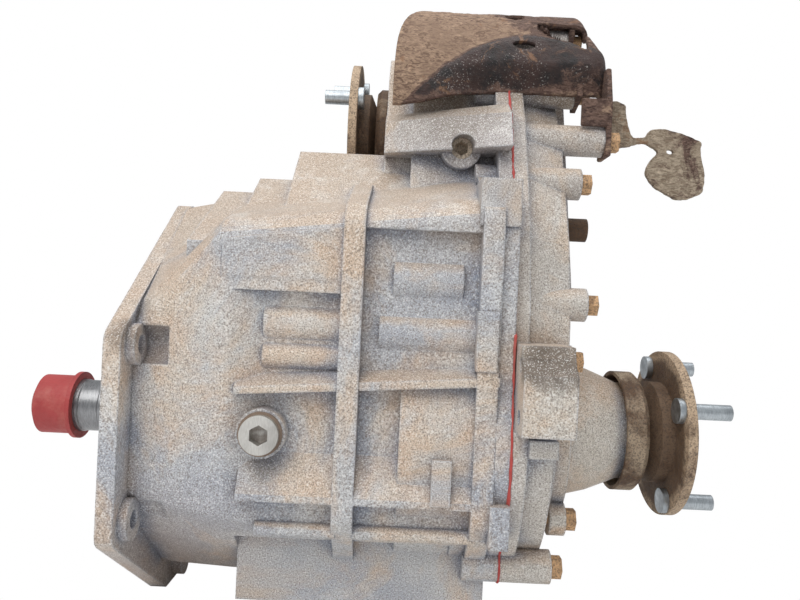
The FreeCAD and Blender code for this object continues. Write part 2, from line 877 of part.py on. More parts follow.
def hex_bolt(x, y, z, length, heading=1):
    """A hex bolt whose head sits at x and faces the heading, with its shank behind."""
    corners = []
    for k in range(6):
        angle = math.radians(60 * k)
        reach = size.bolt_head_across / math.sqrt(3)
        corners.append((reach * math.cos(angle), reach * math.sin(angle)))
    head = prism(polygon_wire(0, corners), size.bolt_head_tall)
    shank = rod(-length, 0, size.bolt_radius)
    bolt = fuse_all([head, shank])
    if heading < 0:
        bolt.rotate(Vector(0, 0, 0), Vector(0, 0, 1), 180)
    bolt.translate(Vector(x, y, z))
    return bolt


front_case = worked("front_case", front_casting().cut(front_hollows()))
rear_case = worked("rear_case", rear_casting().cut(rear_hollows()))

half = size.bead_thick
main_edge = size.joint_main_radius
front_edge = size.joint_front_radius
joint_bosses = [
    rod(size.joint_face - 3, size.joint_face + 3, size.boss_radius + size.seat_gap, y, z)
    for y, z in case_bolt_places()
]
worked(
    "case_sealant",
    belt(size.joint_face - half, size.joint_face + half, main_edge + half, front_edge + half).cut(
        [belt(size.joint_face - 2 * half, size.joint_face + 2 * half, main_edge, front_edge)]
        + joint_bosses
        + [front_case.Shape, rear_case.Shape]
    ),
)
foot = size.guard_thick
guarded = guard_bolt_numbers()
case_bolts = []
for k, (y, z) in enumerate(case_bolt_places()):
    lift = foot if k in guarded or z == size.arm_bolt_z else 0
    seat = bolt_seat(z) + lift
    case_bolts.append(hex_bolt(seat, y, z, seat - size.joint_face + 14))
worked("case_bolts", compound(case_bolts))

# ---------------------------------------------------------------------------
# Extension housing on the rear case
# ---------------------------------------------------------------------------
neck = turned(
    "extension_neck",
    [
        ("rear_case_face", "bearing_outer_radius - race_thick + 4"),
        ("rear_case_face", "extension_radius"),
        ("rear_case_face + extension_flange", "extension_radius"),
        ("rear_case_face + extension_flange", "extension_neck_radius + 14"),
        ("rear_case_face + extension_flange + 6", "extension_neck_radius + 10"),
        ("extension_end - 29", "extension_neck_radius + 6"),
        ("extension_end - 14", "extension_neck_radius"),
        ("extension_end - 8", "extension_neck_radius - 2.5"),
        ("extension_end", "extension_neck_radius - 2.5"),
        ("extension_end", "hub_radius + 8 + seat_gap"),
        ("extension_end - seal_width - 1", "hub_radius + 8 + seat_gap"),
        ("extension_end - seal_width - 1", "hub_radius + 4"),
        ("extension_end - 22", "hub_radius + 4"),
        ("extension_end - 30", "extension_neck_radius"),
    ],
)
lugs = worked(
    "extension_lugs",
    fuse_all(
        [
            rod(
                size.rear_case_face,
                size.rear_case_face + size.extension_flange,
                size.boss_radius,
                y,
                z,
            )
            for y, z in extension_bolt_places()
        ]
    ),
)
lug_holes = worked(
    "extension_holes",
    compound(
        [
            rod(
                size.rear_case_face - 1,
                size.rear_case_face + size.extension_flange + 1,
                size.bolt_radius + size.seat_gap,
                y,
                z,
            )
            for y, z in extension_bolt_places()
        ]
    ),
)
extension_housing = less("extension_housing", joined("extension_blank", [neck, lugs]), lug_holes)
worked(
    "extension_bolts",
    compound(
        [
            hex_bolt(size.rear_case_face + size.extension_flange, y, z, size.extension_flange + 12)
            for y, z in extension_bolt_places()
        ]
    ),
)
rear_seal = ring(
    "rear_seal",
    "extension_end - seal_width",
    "extension_end - 1",
    "hub_radius + running_gap",
    "hub_radius + 8",
)

# ---------------------------------------------------------------------------
# Input shaft, its bearing, retainer, seal and cap
# ---------------------------------------------------------------------------
input_turned = turned(
    "input_turned",
    [
        ("-input_front", "0"),
        ("-input_front", "input_radius - 1.5"),
        ("-input_front + 1.5", "input_radius"),
        ("-input_front + 29", "input_radius"),
        ("-input_front + 29.6", "input_radius - 0.6"),
        ("-input_front + 42", "input_radius - 0.6"),
        ("-input_front + 42.6", "input_radius"),
        ("6", "input_radius"),
        ("6", "input_collar_radius"),
        ("bearing_face", "input_collar_radius"),
        ("bearing_face", "bearing_bore_radius"),
        ("bearing_face + bearing_width", "bearing_bore_radius"),
        ("bearing_face + bearing_width", "input_shoulder_radius - 4"),
        ("carrier_face - 3", "input_shoulder_radius - 4"),
        ("carrier_face - 3", "input_shoulder_radius"),
        ("dog_face - 1", "input_shoulder_radius"),
        ("dog_face - 1", "spline_root_radius"),
        ("dog_face + dog_width", "spline_root_radius"),
        ("dog_face + dog_width", "input_bore_radius"),
        ("input_bore_face", "input_bore_radius"),
        ("input_bore_face", "0"),
    ],
)
sun_outline = involute_points(
    size.sun_teeth, SUN_PITCH - size.gear_dedendum, SUN_PITCH + size.gear_addendum, size.gear_play
)
sun = worked("sun_teeth_blank", toothed(size.sun_face, size.sun_face + size.sun_width, sun_outline))
dogs = worked("input_dogs_blank", toothed(size.dog_face, size.dog_face + size.dog_width, spline_points()))
bore = bar("input_bore", "input_bore_face", "dog_face + dog_width - input_bore_face + 1", "input_bore_radius")
input_shaft = less("input_shaft", joined("input_blank", [input_turned, sun, dogs]), bore)

shaft_cap = turned(
    "shaft_cap",
    [
        ("-input_front - free_gap - cap_wall", "0"),
        ("-input_front - free_gap - cap_wall", "input_radius - 3"),
        ("-input_front - free_gap + 1", "input_radius + cap_wall"),
        ("-input_front + cap_length - 4", "input_radius + cap_wall"),
        ("-input_front + cap_length - 3", "cap_lip_radius"),
        ("-input_front + cap_length", "cap_lip_radius"),
        ("-input_front + cap_length", "input_radius + running_gap"),
        ("-input_front - free_gap", "input_radius + running_gap"),
        ("-input_front - free_gap", "0"),
    ],
)


def bearing(name, face, bore, outer, width, axis=None):
    """A shielded bearing: an inner race, and an outer race whose shields reach in to it."""
    race = "race_thick"
    ring(
        name + "_inner",
        "%s + side_gap" % face,
        "%s + %s - side_gap" % (face, width),
        "%s + seat_gap" % bore,
        "%s + %s" % (bore, race),
        axis,
    )
    turned(
        name + "_outer",
        [
            ("%s" % face, "%s + %s + free_gap" % (bore, race)),
            ("%s" % face, outer),
            ("%s + %s" % (face, width), outer),
            ("%s + %s" % (face, width), "%s + %s + free_gap" % (bore, race)),
            ("%s + %s - 1.5" % (face, width), "%s + %s + free_gap" % (bore, race)),
            ("%s + %s - 1.5" % (face, width), "%s - %s" % (outer, race)),
            ("%s + 1.5" % face, "%s - %s" % (outer, race)),
            ("%s + 1.5" % face, "%s + %s + free_gap" % (bore, race)),
        ],
        axis,
    )


bearing("input_bearing", "bearing_face", "bearing_bore_radius", "bearing_outer_radius", "bearing_width")
bearing("rear_bearing", "rear_bearing_face", "shaft_radius", "bearing_outer_radius", "bearing_width")
bearing("front_bearing", "front_bearing_face", "shaft_radius", "bearing_outer_radius", "bearing_width", "front")
bearing("tail_bearing", "tail_bearing_face", "tail_bore_radius", "tail_outer_radius", "tail_width", "front")

retainer_blank = turned(
    "retainer_blank",
    [
        ("bell_depth - 8", "input_collar_radius + 7.5 + seat_gap"),
        ("bell_depth - 8", "input_collar_radius + 12"),
        ("bell_depth - retainer_thick", "input_collar_radius + 12"),
        ("bell_depth - retainer_thick", "bearing_outer_radius + retainer_rim"),
        ("bell_depth", "bearing_outer_radius + retainer_rim"),
        ("bell_depth", "bearing_outer_radius - seat_gap"),
        ("bearing_face", "bearing_outer_radius - seat_gap"),
        ("bearing_face", "bearing_outer_radius - 4"),
        ("bell_depth + 2", "bearing_outer_radius - 4"),
        ("bell_depth + 2", "input_collar_radius + 4"),
        ("bell_depth + 0.5", "input_collar_radius + 4"),
        ("bell_depth + 0.5", "input_collar_radius + 7.5 + seat_gap"),
    ],
)
retainer_holes = worked(
    "retainer_holes",
    compound(
        [
            rod(size.bell_depth - 10, size.bell_depth + 1, size.bolt_radius + size.seat_gap, y, z)
            for y, z in retainer_bolt_places()
        ]
    ),
)
less("bearing_retainer", retainer_blank, retainer_holes)
worked(
    "retainer_bolts",
    compound(
        [
            hex_bolt(size.bell_depth - size.retainer_thick, y, z, 14, -1)
            for y, z in retainer_bolt_places()
        ]
    ),
)
ring(
    "input_seal",
    "bell_depth - 8",
    "bell_depth",
    "input_collar_radius + running_gap",
    "input_collar_radius + 7.5",
)

# ---------------------------------------------------------------------------
# Planetary gearset: the sun is on the input shaft
# ---------------------------------------------------------------------------
ring_outline = involute_points(
    size.ring_teeth,
    RING_PITCH - size.ring_addendum,
    RING_PITCH + size.gear_dedendum,
    -size.gear_play,
)
ring_blank = bar("ring_blank", "ring_face", "ring_width", "ring_radius")
ring_space = worked("ring_space", toothed(size.ring_face - 1, size.ring_face + size.ring_width + 1, ring_outline))
less("ring_gear", ring_blank, ring_space)

planet_x0 = size.carrier_face + size.carrier_plate + size.carrier_gap
planet_x1 = size.sun_face + size.sun_width - size.carrier_gap


def planet_angle(k):
    return 2 * math.pi * k / PLANET_COUNT


def planet_gear(k):
    """A planet whose tooth gap faces the sun, so that it meshes with sun and ring at rest."""
    angle = planet_angle(k)
    outline = involute_points(
        size.planet_teeth,
        PLANET_PITCH - size.gear_dedendum,
        PLANET_PITCH + size.gear_addendum,
        size.gear_play,
        angle,
    )
    y = PIN_CIRCLE * math.cos(angle)
    z = PIN_CIRCLE * math.sin(angle)
    gear = toothed(planet_x0, planet_x1, outline, y, z)
    return gear.cut(rod(planet_x0 - 1, planet_x1 + 1, size.planet_pin_radius + size.running_gap, y, z))


for k in range(PLANET_COUNT):
    worked("planet_gear_%d" % (k + 1), planet_gear(k))


def carrier_shape():
    """Two plates joined by posts between the planets, with the low-range collar behind."""
    front = size.carrier_face
    plate = size.carrier_plate
    rear = size.sun_face + size.sun_width + size.carrier_gap
    bore = size.input_shoulder_radius + size.running_gap
    collar = size.sleeve_radius + size.side_gap
    pieces = [rod(front, front + plate, size.carrier_radius), rod(rear, rear + plate, size.carrier_radius)]
    for k in range(PLANET_COUNT):
        angle = math.degrees(planet_angle(k + 0.5))
        post = block(front, rear + plate, SUN_PITCH + 4.5, size.carrier_radius - 1.5, -9, 9)
        post.rotate(Vector(0, 0, 0), Vector(1, 0, 0), angle)
        pieces.append(post)
    pieces.append(rod(rear + plate - 1, size.chamber_face + 1, collar + 4.5))
    cuts = [rod(front - 1, rear + plate, bore), rod(rear + plate, size.chamber_face + 2, collar)]
    for k in range(PLANET_COUNT):
        angle = planet_angle(k)
        y = PIN_CIRCLE * math.cos(angle)
        z = PIN_CIRCLE * math.sin(angle)
        cuts.append(rod(front - 1, rear + plate + 1, size.planet_pin_radius + size.seat_gap, y, z))
    return fuse_all(pieces).cut(cuts)


def pin_shapes():
    front = size.carrier_face
    rear = size.sun_face + size.sun_width + size.carrier_gap + size.carrier_plate
    pins = []
    for k in range(PLANET_COUNT):
        angle = planet_angle(k)
        pins.append(
            rod(front, rear, size.planet_pin_radius, PIN_CIRCLE * math.cos(angle), PIN_CIRCLE * math.sin(angle))
        )
    return compound(pins)


worked("planet_carrier", carrier_shape())
worked("planet_pins", pin_shapes())

# ---------------------------------------------------------------------------
# Main shaft, its sleeves and the drive sprocket
# ---------------------------------------------------------------------------
main_turned = turned(
    "main_turned",
    [
        ("input_bore_face + 6", "0"),
        ("input_bore_face + 6", "pilot_radius"),
        ("range_hub_face - 1", "pilot_radius"),
        ("range_hub_face - 1", "journal_radius"),
        ("rear_bearing_face - 36", "journal_radius"),
        ("rear_bearing_face - 36", "journal_radius + 7"),
        ("rear_bearing_face - 30", "journal_radius + 7"),
        ("rear_bearing_face - 30", "journal_radius"),
        ("rear_bearing_face", "journal_radius"),
        ("rear_bearing_face", "shaft_radius"),
        ("rear_case_face + 38", "shaft_radius"),
        ("rear_case_face + 38", "shaft_radius - 3"),
        ("rear_flange_face - nut_pocket_depth", "shaft_radius - 3"),
        ("rear_flange_face - nut_pocket_depth", "shaft_radius - 8"),
        ("rear_flange_face - 2", "shaft_radius - 8"),
        ("rear_flange_face - 2", "0"),
    ],
)
range_hub = worked(
    "range_hub", toothed(size.range_hub_face, size.range_hub_face + size.range_hub_width, spline_points())
)
drive_hub = worked(
    "drive_hub", toothed(size.drive_hub_face, size.drive_hub_face + size.drive_hub_width, spline_points())
)
mainshaft = joined("mainshaft", [main_turned, range_hub, drive_hub])
ring(
    "pilot_bearing",
    "input_bore_face + 8",
    "dog_face + dog_width - 2",
    "pilot_radius + seat_gap",
    "input_bore_radius - running_gap",
)


def sleeve(x0, length, groove):
    """A sliding sleeve: spline slots inside, and a fork groove turned outside."""
    shape = rod(x0, x0 + length, size.sleeve_radius)
    shape = shape.cut(toothed(x0 - 1, x0 + length + 1, spline_points(3 * size.running_gap)))
    band = rod(groove, groove + size.fork_slot, size.sleeve_radius + 1)
    band = band.cut(rod(groove, groove + size.fork_slot, size.sleeve_groove_radius))
    return shape.cut(band)


range_sleeve_face = size.dog_face + 1
range_groove = range_sleeve_face + 23
drive_sleeve_face = size.drive_hub_face + size.sleeve_travel
drive_groove = drive_sleeve_face + 7
worked("range_sleeve", sleeve(range_sleeve_face, size.sleeve_length, range_groove))
worked("drive_sleeve", sleeve(drive_sleeve_face, size.drive_sleeve_length, drive_groove))


def fork(groove, y, z):
    """A shift fork: half a ring in the sleeve's groove, an arm, and a boss on the rail."""
    x0 = groove + size.side_gap
    x1 = groove + size.fork_slot - size.side_gap
    inner = size.sleeve_groove_radius + size.free_gap
    reach = math.hypot(y, z)
    turn = math.degrees(math.atan2(z, y))
    band = rod(x0, x1, size.fork_reach + 3)
    arm = block(x0, x1, size.sleeve_radius, reach, -9, 9)
    away = block(x0 - 1, x1 + 1, -100, 0, -100, 100)
    shape = fuse_all([band.cut(away), arm, rod(x0 - 3, x1 + 6, size.rail_radius + 3.5, reach, 0)])
    cuts = [rod(x0 - 1, x1 + 1, inner), rod(x0 - 8, x1 + 8, size.rail_radius + size.seat_gap, reach, 0)]
    shape = shape.cut(cuts)
    shape.rotate(Vector(0, 0, 0), Vector(1, 0, 0), turn)
    return shape


worked("range_fork", fork(range_groove, size.range_rail_y, size.range_rail_z))
worked("drive_fork", fork(drive_groove, size.drive_rail_y, size.drive_rail_z))
rail_length = "rear_case_face - 15 - (chamber_face - 20)"
bar("range_rail", "chamber_face - 20", rail_length, "rail_radius", "range_rail_y", "range_rail_z")
bar(
    "drive_rail",
    "chamber_face - 20 + sleeve_travel",
    rail_length,
    "rail_radius",
    "drive_rail_y",
    "drive_rail_z",
)

# ---------------------------------------------------------------------------
# Chain drive to the front output
# ---------------------------------------------------------------------------
PITCH_RADIUS = size.chain_pitch / (2 * math.sin(math.pi / size.sprocket_teeth))


def sprocket_outline():
    """Teeth for a silent chain: a tooth stands on the lean line, so both sprockets mesh alike."""
    tip = PITCH_RADIUS - 1.5
    root = PITCH_RADIUS - 5.6
    phase = math.pi / 2 - LEAN
    return straight_teeth(size.sprocket_teeth, root, tip, 0.55 * size.chain_pitch, 0.36 * size.chain_pitch, phase)


def sprocket(y, z):
    x0 = size.sprocket_face
    return toothed(x0, x0 + size.sprocket_width, sprocket_outline(), y, z)


def chain_point(step, inset):
    """A point on the chain's path, the step counted in pitches from the far side's first link."""
    half = size.sprocket_teeth / 2
    straight = (size.chain_links - size.sprocket_teeth) / 2
    along = (math.sin(LEAN), math.cos(LEAN))
    across = (math.cos(LEAN), -math.sin(LEAN))
    radius = PITCH_RADIUS - inset
    step = step % size.chain_links
    if step <= straight:
        reach = step * size.chain_pitch
        side = radius
    elif step <= straight + half:
        turn = math.pi * (step - straight) / half
        reach = CENTRES + radius * math.sin(turn)
        side = radius * math.cos(turn)
    elif step <= 2 * straight + half:
        reach = CENTRES - (step - straight - half) * size.chain_pitch
        side = -radius
    else:
        turn = math.pi * (step - 2 * straight - half) / half
        reach = -radius * math.sin(turn)
        side = -radius * math.cos(turn)
    return (along[0] * reach + across[0] * side, along[1] * reach + across[1] * side)


def chain_shape():
    """The link band round both sprockets, with one inward tooth between each pair of pins."""
    outer = []
    inner = []
    for k in range(int(size.chain_links)):
        outer.append(chain_point(k, -size.chain_back))
        for share, inset in ((0.27, 1.1), (0.37, 4.9), (0.63, 4.9), (0.73, 1.1)):
            inner.append(chain_point(k + share, inset))
    x0 = size.sprocket_face + 1
    width = size.sprocket_width - 2
    return prism(polygon_wire(x0, outer), width).cut(prism(polygon_wire(x0, inner), width))


worked("drive_chain", chain_shape())
drive_ring = worked(
    "drive_ring",
    fuse_all(
        [
            sprocket(0, 0),
            rod(size.sprocket_face - 2, size.rear_bearing_face - 37, size.journal_radius + 8),
            rod(size.sprocket_face - 10, size.sprocket_face, size.spline_root_radius),
            toothed(size.sprocket_face - 10, size.sprocket_face - 2, spline_points()),
        ]
    ),
)
journal = bar("sprocket_journal", "sprocket_face - 11", "50", "journal_radius + running_gap")
less("drive_sprocket", drive_ring, journal)

front_turned = turned(
    "front_turned",
    [
        ("front_flange_face + 2", "0"),
        ("front_flange_face + 2", "shaft_radius - 8"),
        ("front_flange_face + nut_pocket_depth", "shaft_radius - 8"),
        ("front_flange_face + nut_pocket_depth", "shaft_radius - 3"),
        ("front_bearing_face", "shaft_radius - 3"),
        ("front_bearing_face", "shaft_radius"),
        ("front_bearing_face + bearing_width", "shaft_radius"),
        ("front_bearing_face + bearing_width", "journal_radius"),
        ("tail_bearing_face", "journal_radius"),
        ("tail_bearing_face", "tail_bore_radius"),
        ("tail_bearing_face + tail_width - side_gap", "tail_bore_radius"),
        ("tail_bearing_face + tail_width - side_gap", "0"),
    ],
    "front",
)
driven_ring = worked("driven_ring", sprocket(FRONT_Y, FRONT_Z))
joined("front_output_shaft", [front_turned, driven_ring])

# ---------------------------------------------------------------------------
# Companion flanges, studs, nuts, deflectors and seals
# ---------------------------------------------------------------------------
def flange_corners(face, inward, hub_end):
    """The profile of a companion flange from its outer face, with the nut's pocket in it."""
    def back(depth):
        return "%s %s %s" % (face, inward, depth)

    return [
        (hub_end, "shaft_radius - 3 + seat_gap"),
        (back("nut_pocket_depth"), "shaft_radius - 3 + seat_gap"),
        (back("nut_pocket_depth"), "nut_pocket_radius"),
        (face, "nut_pocket_radius"),
        (face, "flange_radius"),
        (back("flange_thick"), "flange_radius"),
        (back("flange_thick"), "nut_pocket_radius + 8"),
        (back("(nut_pocket_depth + 4)"), "nut_pocket_radius + 8"),
        (back("(nut_pocket_depth + 9)"), "hub_radius"),
        (hub_end, "hub_radius"),
    ]


def stud_places():
    places = []
    for k in range(int(size.stud_count)):
        angle = math.radians(64 + 360 * k / size.stud_count + 90)
        places.append((size.stud_circle / 2 * math.cos(angle), size.stud_circle / 2 * math.sin(angle)))
    return places


def companion(name, face, sign, hub_end, reach, centre, axis=None):
    """A companion flange with its pressed-in studs and its nut."""
    face_x = getattr(size, face)
    y0, z0 = centre
    blank = turned(name + "_blank", flange_corners(face, "-" if sign > 0 else "+", hub_end), axis)
    inner = face_x - sign * size.flange_thick
    low = min(face_x, inner) - 1
    high = max(face_x, inner) + 1
    pressed = size.stud_radius + size.knurl_lift
    holes = [rod(low, high, pressed + size.seat_gap, y0 + y, z0 + z) for y, z in stud_places()]
    less(name, blank, worked(name + "_holes", compound(holes)))
    studs = []
    for y, z in stud_places():
        tip = face_x + sign * reach
        head = inner - sign * size.stud_head_thick
        knurl = rod(min(face_x, inner), max(face_x, inner), pressed, y0 + y, z0 + z)
        stem = rod(min(tip, face_x), max(tip, face_x), size.stud_radius, y0 + y, z0 + z)
        cap = rod(min(head, inner), max(head, inner), size.stud_head_radius, y0 + y, z0 + z)
        studs.append(fuse_all([stem, knurl, cap]))
    worked(name + "_studs", compound(studs))
    corners = []
    for k in range(6):
        angle = math.radians(60 * k)
        corners.append((y0 + 17.3 * math.cos(angle), z0 + 17.3 * math.sin(angle)))
    floor = face_x - sign * size.nut_pocket_depth
    start = min(floor, floor + sign * 7.5)
    nut = prism(polygon_wire(start, corners), 7.5)
    nut = nut.cut(rod(start - 1, start + 9, size.shaft_radius - 8 + size.seat_gap, y0, z0))
    worked(name + "_nut", nut)


companion("rear_flange", "rear_flange_face", 1, "rear_case_face + 38", size.rear_stud_reach, (0, 0))
companion(
    "front_flange",
    "front_flange_face",
    -1,
    "front_bearing_face - seat_gap",
    size.front_stud_reach,
    (FRONT_Y, FRONT_Z),
    "front",
)
ring(
    "front_seal",
    "tower_face + 1.5",
    "tower_face + 1.5 + seal_width - 0.5",
    "hub_radius + running_gap",
    "hub_radius + 9",
    "front",
)
turned(
    "rear_deflector",
    [
        ("extension_end + 5", "hub_radius + seat_gap"),
        ("extension_end + 5", "deflector_radius - 3"),
        ("extension_end + 2", "deflector_radius"),
        ("extension_end + 5 - deflector_length", "deflector_radius"),
        ("extension_end + 5 - deflector_length", "deflector_radius - 2.5"),
        ("extension_end + 2", "deflector_radius - 2.5"),
        ("extension_end + 2", "hub_radius + seat_gap"),
    ],
)
turned(
    "front_deflector",
    [
        ("tower_face - 9", "hub_radius + seat_gap"),
        ("tower_face - 9", "deflector_radius - 5"),
        ("tower_face - 6", "deflector_radius - 2"),
        ("tower_face - 1", "deflector_radius - 2"),
        ("tower_face - 1", "deflector_radius - 4.5"),
        ("tower_face - 6", "deflector_radius - 4.5"),
        ("tower_face - 6", "hub_radius + seat_gap"),
    ],
    "front",
)
ring("speedometer_gear", "rear_case_face + 2", "rear_case_face + 18", "shaft_radius + seat_gap", "shaft_radius + 9")
ring(
    "shaft_spacer",
    "rear_case_face + 18",
    "rear_case_face + 38",
    "shaft_radius + seat_gap",
    "shaft_radius + 4",
)

# ---------------------------------------------------------------------------
# Plugs
# ---------------------------------------------------------------------------
def socket_plug(x, z, face, head_radius, head, thread_radius, thread, hexagon_across):
    """A plug screwed in along Y: a head on its face, a thread, and a hexagon socket."""
    pieces = [side_rod(x, z, face, face + thread, thread_radius)]
    if head > 0:
        pieces.append(side_rod(x, z, face - head, face, head_radius))
    corners = []
    for k in range(6):
        angle = math.radians(60 * k + 30)
        reach = hexagon_across / math.sqrt(3)
        corners.append(Vector(x + reach * math.cos(angle), face - head - 1, z + reach * math.sin(angle)))
    socket = Part.Face(Part.makePolygon(corners + [corners[0]])).extrude(Vector(0, 9, 0))
    return fuse_all(pieces).cut(socket)


boss_face = -size.near_side - size.hoop_height
gasket = side_rod(
    size.filler_x, size.filler_z, boss_face - size.gasket_thick, boss_face, size.filler_radius + 1.5
).cut(side_rod(size.filler_x, size.filler_z, boss_face - 9, boss_face + 9, size.filler_thread_radius + 0.3))
worked("filler_gasket", gasket)
worked(
    "filler_plug",
    socket_plug(
        size.filler_x,
        size.filler_z,
        boss_face - size.gasket_thick,
        size.filler_radius,
        4,
        size.filler_thread_radius,
        14,
        size.filler_hex,
    ),
)
worked(
    "upper_plug",
    socket_plug(
        size.upper_plug_x,
        size.upper_plug_z,
        size.upper_plug_y + 1.5,
        0,
        0,
        size.upper_plug_radius,
        10,
        size.filler_hex - 2,
    ),
)
detent_seat = size.rear_case_face + size.cover_lift
worked(
    "detent_plug",
    fuse_all(
        [
            rod(detent_seat, detent_seat + size.detent_reach, size.detent_radius, size.detent_y, size.detent_z),
            rod(detent_seat, detent_seat + 3, size.detent_radius + 2.5, size.detent_y, size.detent_z),
        ]
    ),
)

# ---------------------------------------------------------------------------
# Pressed guard round the front output, its feet, and the loose tail plate
# ---------------------------------------------------------------------------
def sector(x0, x1, outer, inner, start, sweep):
    """Part of a ring round the front axis, from a start angle through a sweep, both in degrees."""
    corners = []
    for radius, angle in ((inner, start), (outer, start)):
        lean = math.radians(angle)
        corners.append(Vector(x0, radius * math.cos(lean), radius * math.sin(lean)))
    depth = Vector(x1 - x0, 0, 0)
    corners += [corners[1] + depth, corners[0] + depth, corners[0]]
    shape = Part.Face(Part.makePolygon(corners)).revolve(Vector(0, 0, 0), Vector(1, 0, 0), sweep)
    shape.translate(Vector(0, FRONT_Y, FRONT_Z))
    return shape


def guard_shape():
    """The curved shield with two drain holes, a window, a turned-in end, an arm and a square tab."""
    thick = size.guard_thick
    outer = size.guard_radius
    inner = outer - thick
    x0 = size.guard_face
    x1 = size.guard_end
    shell = sector(x0, x1, outer, inner, size.guard_start, size.guard_sweep)
    end = sector(x1 - thick, x1, inner + 1, inner - 14, 128, 42)
    cuts = []
    for x, angle, radius in ((235, 105, 7), (237, 140, 7.5)):
        lean = math.radians(angle)
        start = Vector(x, FRONT_Y + (inner - 5) * math.cos(lean), FRONT_Z + (inner - 5) * math.sin(lean))
        cuts.append(Part.makeCylinder(radius, 20, start, Vector(0, math.cos(lean), math.sin(lean))))
    cuts.append(sector(x1 - 34, x1 - 9, outer + 1, inner - 1, 100, 25))
    cuts.append(sector(x0 - 1, x0 + 58, outer + 1, inner - 1, size.guard_start - 2, 97 - size.guard_start))
    cuts.append(sector(x0 - 1, x0 + 12, outer + 1, inner - 1, 94, 22))
    y = size.arm_bolt_y
    z = size.arm_bolt_z
    reach = 11
    outline = [
        (y - reach, z - reach),
        (y + reach, z - reach),
        (y + reach, z + 60),
        (y + 2, z + 60),
        (y - reach, z + 24),
    ]
    arm = wedge(x1 - thick, outline, x1, outline)
    arm = arm.cut(rod(x1 - 9, x1 + 9, size.bolt_radius + size.free_gap, y, z))
    tab = block(x1 - 20, x1, y - reach, y - reach + thick, z + 8, z + 26)
    return fuse_all([shell.cut(cuts), end, arm, tab])


def foot_shapes():
    """A flat foot under each guard bolt, reaching out to the shield."""
    seat = size.rear_case_face + size.boss_lift
    feet = []
    for k in guard_bolt_numbers():
        y, z = case_bolt_places()[k]
        turn = math.degrees(math.atan2(z - FRONT_Z, y - FRONT_Y))
        near = math.hypot(y - FRONT_Y, z - FRONT_Z)
        inner = size.guard_radius - size.guard_thick - size.seat_gap
        tip = math.sqrt(inner * inner - 81)
        plate_part = block(seat, seat + size.guard_thick, near - 9, tip, -9, 9)
        plate_part = plate_part.cut(rod(seat - 1, seat + 9, size.bolt_radius + size.free_gap, near, 0))
        plate_part.rotate(Vector(0, 0, 0), Vector(1, 0, 0), turn)
        plate_part.translate(Vector(0, FRONT_Y, FRONT_Z))
        feet.append(plate_part)
    return compound(feet)


def tail_shape():
    """A flat rusted plate on a narrow neck, bolted to the shield's last foot."""
    thick = size.guard_thick
    y0 = size.tail_y
    radius = size.tail_radius
    middle_x = size.guard_end + size.tail_reach
    middle_z = FRONT_Z - size.tail_drop
    spots = []
    for k, share in enumerate((0.95, 1.25, 1.05, 1.0, 1.02, 0.98, 1.05, 1.12, 0.95, 0.98)):
        angle = math.radians(36 * k)
        reach = radius * share
        spots.append(Vector(middle_x + reach * math.cos(angle), y0, middle_z + reach * math.sin(angle)))
    head = Part.Face(Part.makePolygon(spots + [spots[0]])).extrude(Vector(0, thick, 0))
    neck_z = middle_z + radius * 0.75
    arm_x = size.guard_end + size.seat_gap
    neck = block(arm_x, middle_x - radius * 0.5, y0, y0 + thick, neck_z, neck_z + 8)
    arm = block(arm_x, arm_x + 16, y0, y0 + thick, neck_z - 6, neck_z + 24)
    shape = fuse_all([neck, head, arm])
    hole_x = middle_x - radius * 0.2
    return shape.cut(side_rod(hole_x, middle_z + radius * 0.75, y0 - 5, y0 + 10, size.stud_radius / 2))


worked("guard", guard_shape())
worked("guard_feet", foot_shapes())
worked("tail_plate", tail_shape())

doc.recompute()

# ---------------------------------------------------------------------------
# Nodes
# ---------------------------------------------------------------------------
NODES = """
front_case rear_case extension_housing case_bolts extension_bolts bearing_retainer retainer_bolts
input_seal rear_seal front_seal input_shaft shaft_cap pilot_bearing
input_bearing_inner input_bearing_outer rear_bearing_inner rear_bearing_outer
front_bearing_inner front_bearing_outer tail_bearing_inner tail_bearing_outer
ring_gear planet_gear_1 planet_gear_2 planet_gear_3 planet_carrier planet_pins
mainshaft range_sleeve drive_sleeve range_fork drive_fork range_rail drive_rail
drive_chain drive_sprocket front_output_shaft
rear_flange rear_flange_studs rear_flange_nut front_flange front_flange_studs front_flange_nut
rear_deflector front_deflector speedometer_gear shaft_spacer
case_sealant filler_plug filler_gasket upper_plug detent_plug guard guard_feet tail_plate
""".split()

for item in doc.Objects:
    if "Invalid" in item.State or "Error" in item.State:
        raise RuntimeError("%s failed: %s" % (item.Label, item.State))

os.makedirs("parts", exist_ok=True)
for node in NODES:
    shape = doc.getObjectsByLabel(node)[0].Shape
    if shape.isNull() or not shape.isValid() or not shape.Solids:
        raise RuntimeError("%s has no valid solid" % node)
    shape.exportStep("parts/%s.step" % node)
print("%d nodes" % len(NODES))
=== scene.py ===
"""Looks and stage of a weathered vehicle transfer case.

The drive train is loaded as a fixed frame. This script gives each of its pieces a procedural
material, adds the surface pieces that a machine drawing leaves out, and sets the stage.
"""

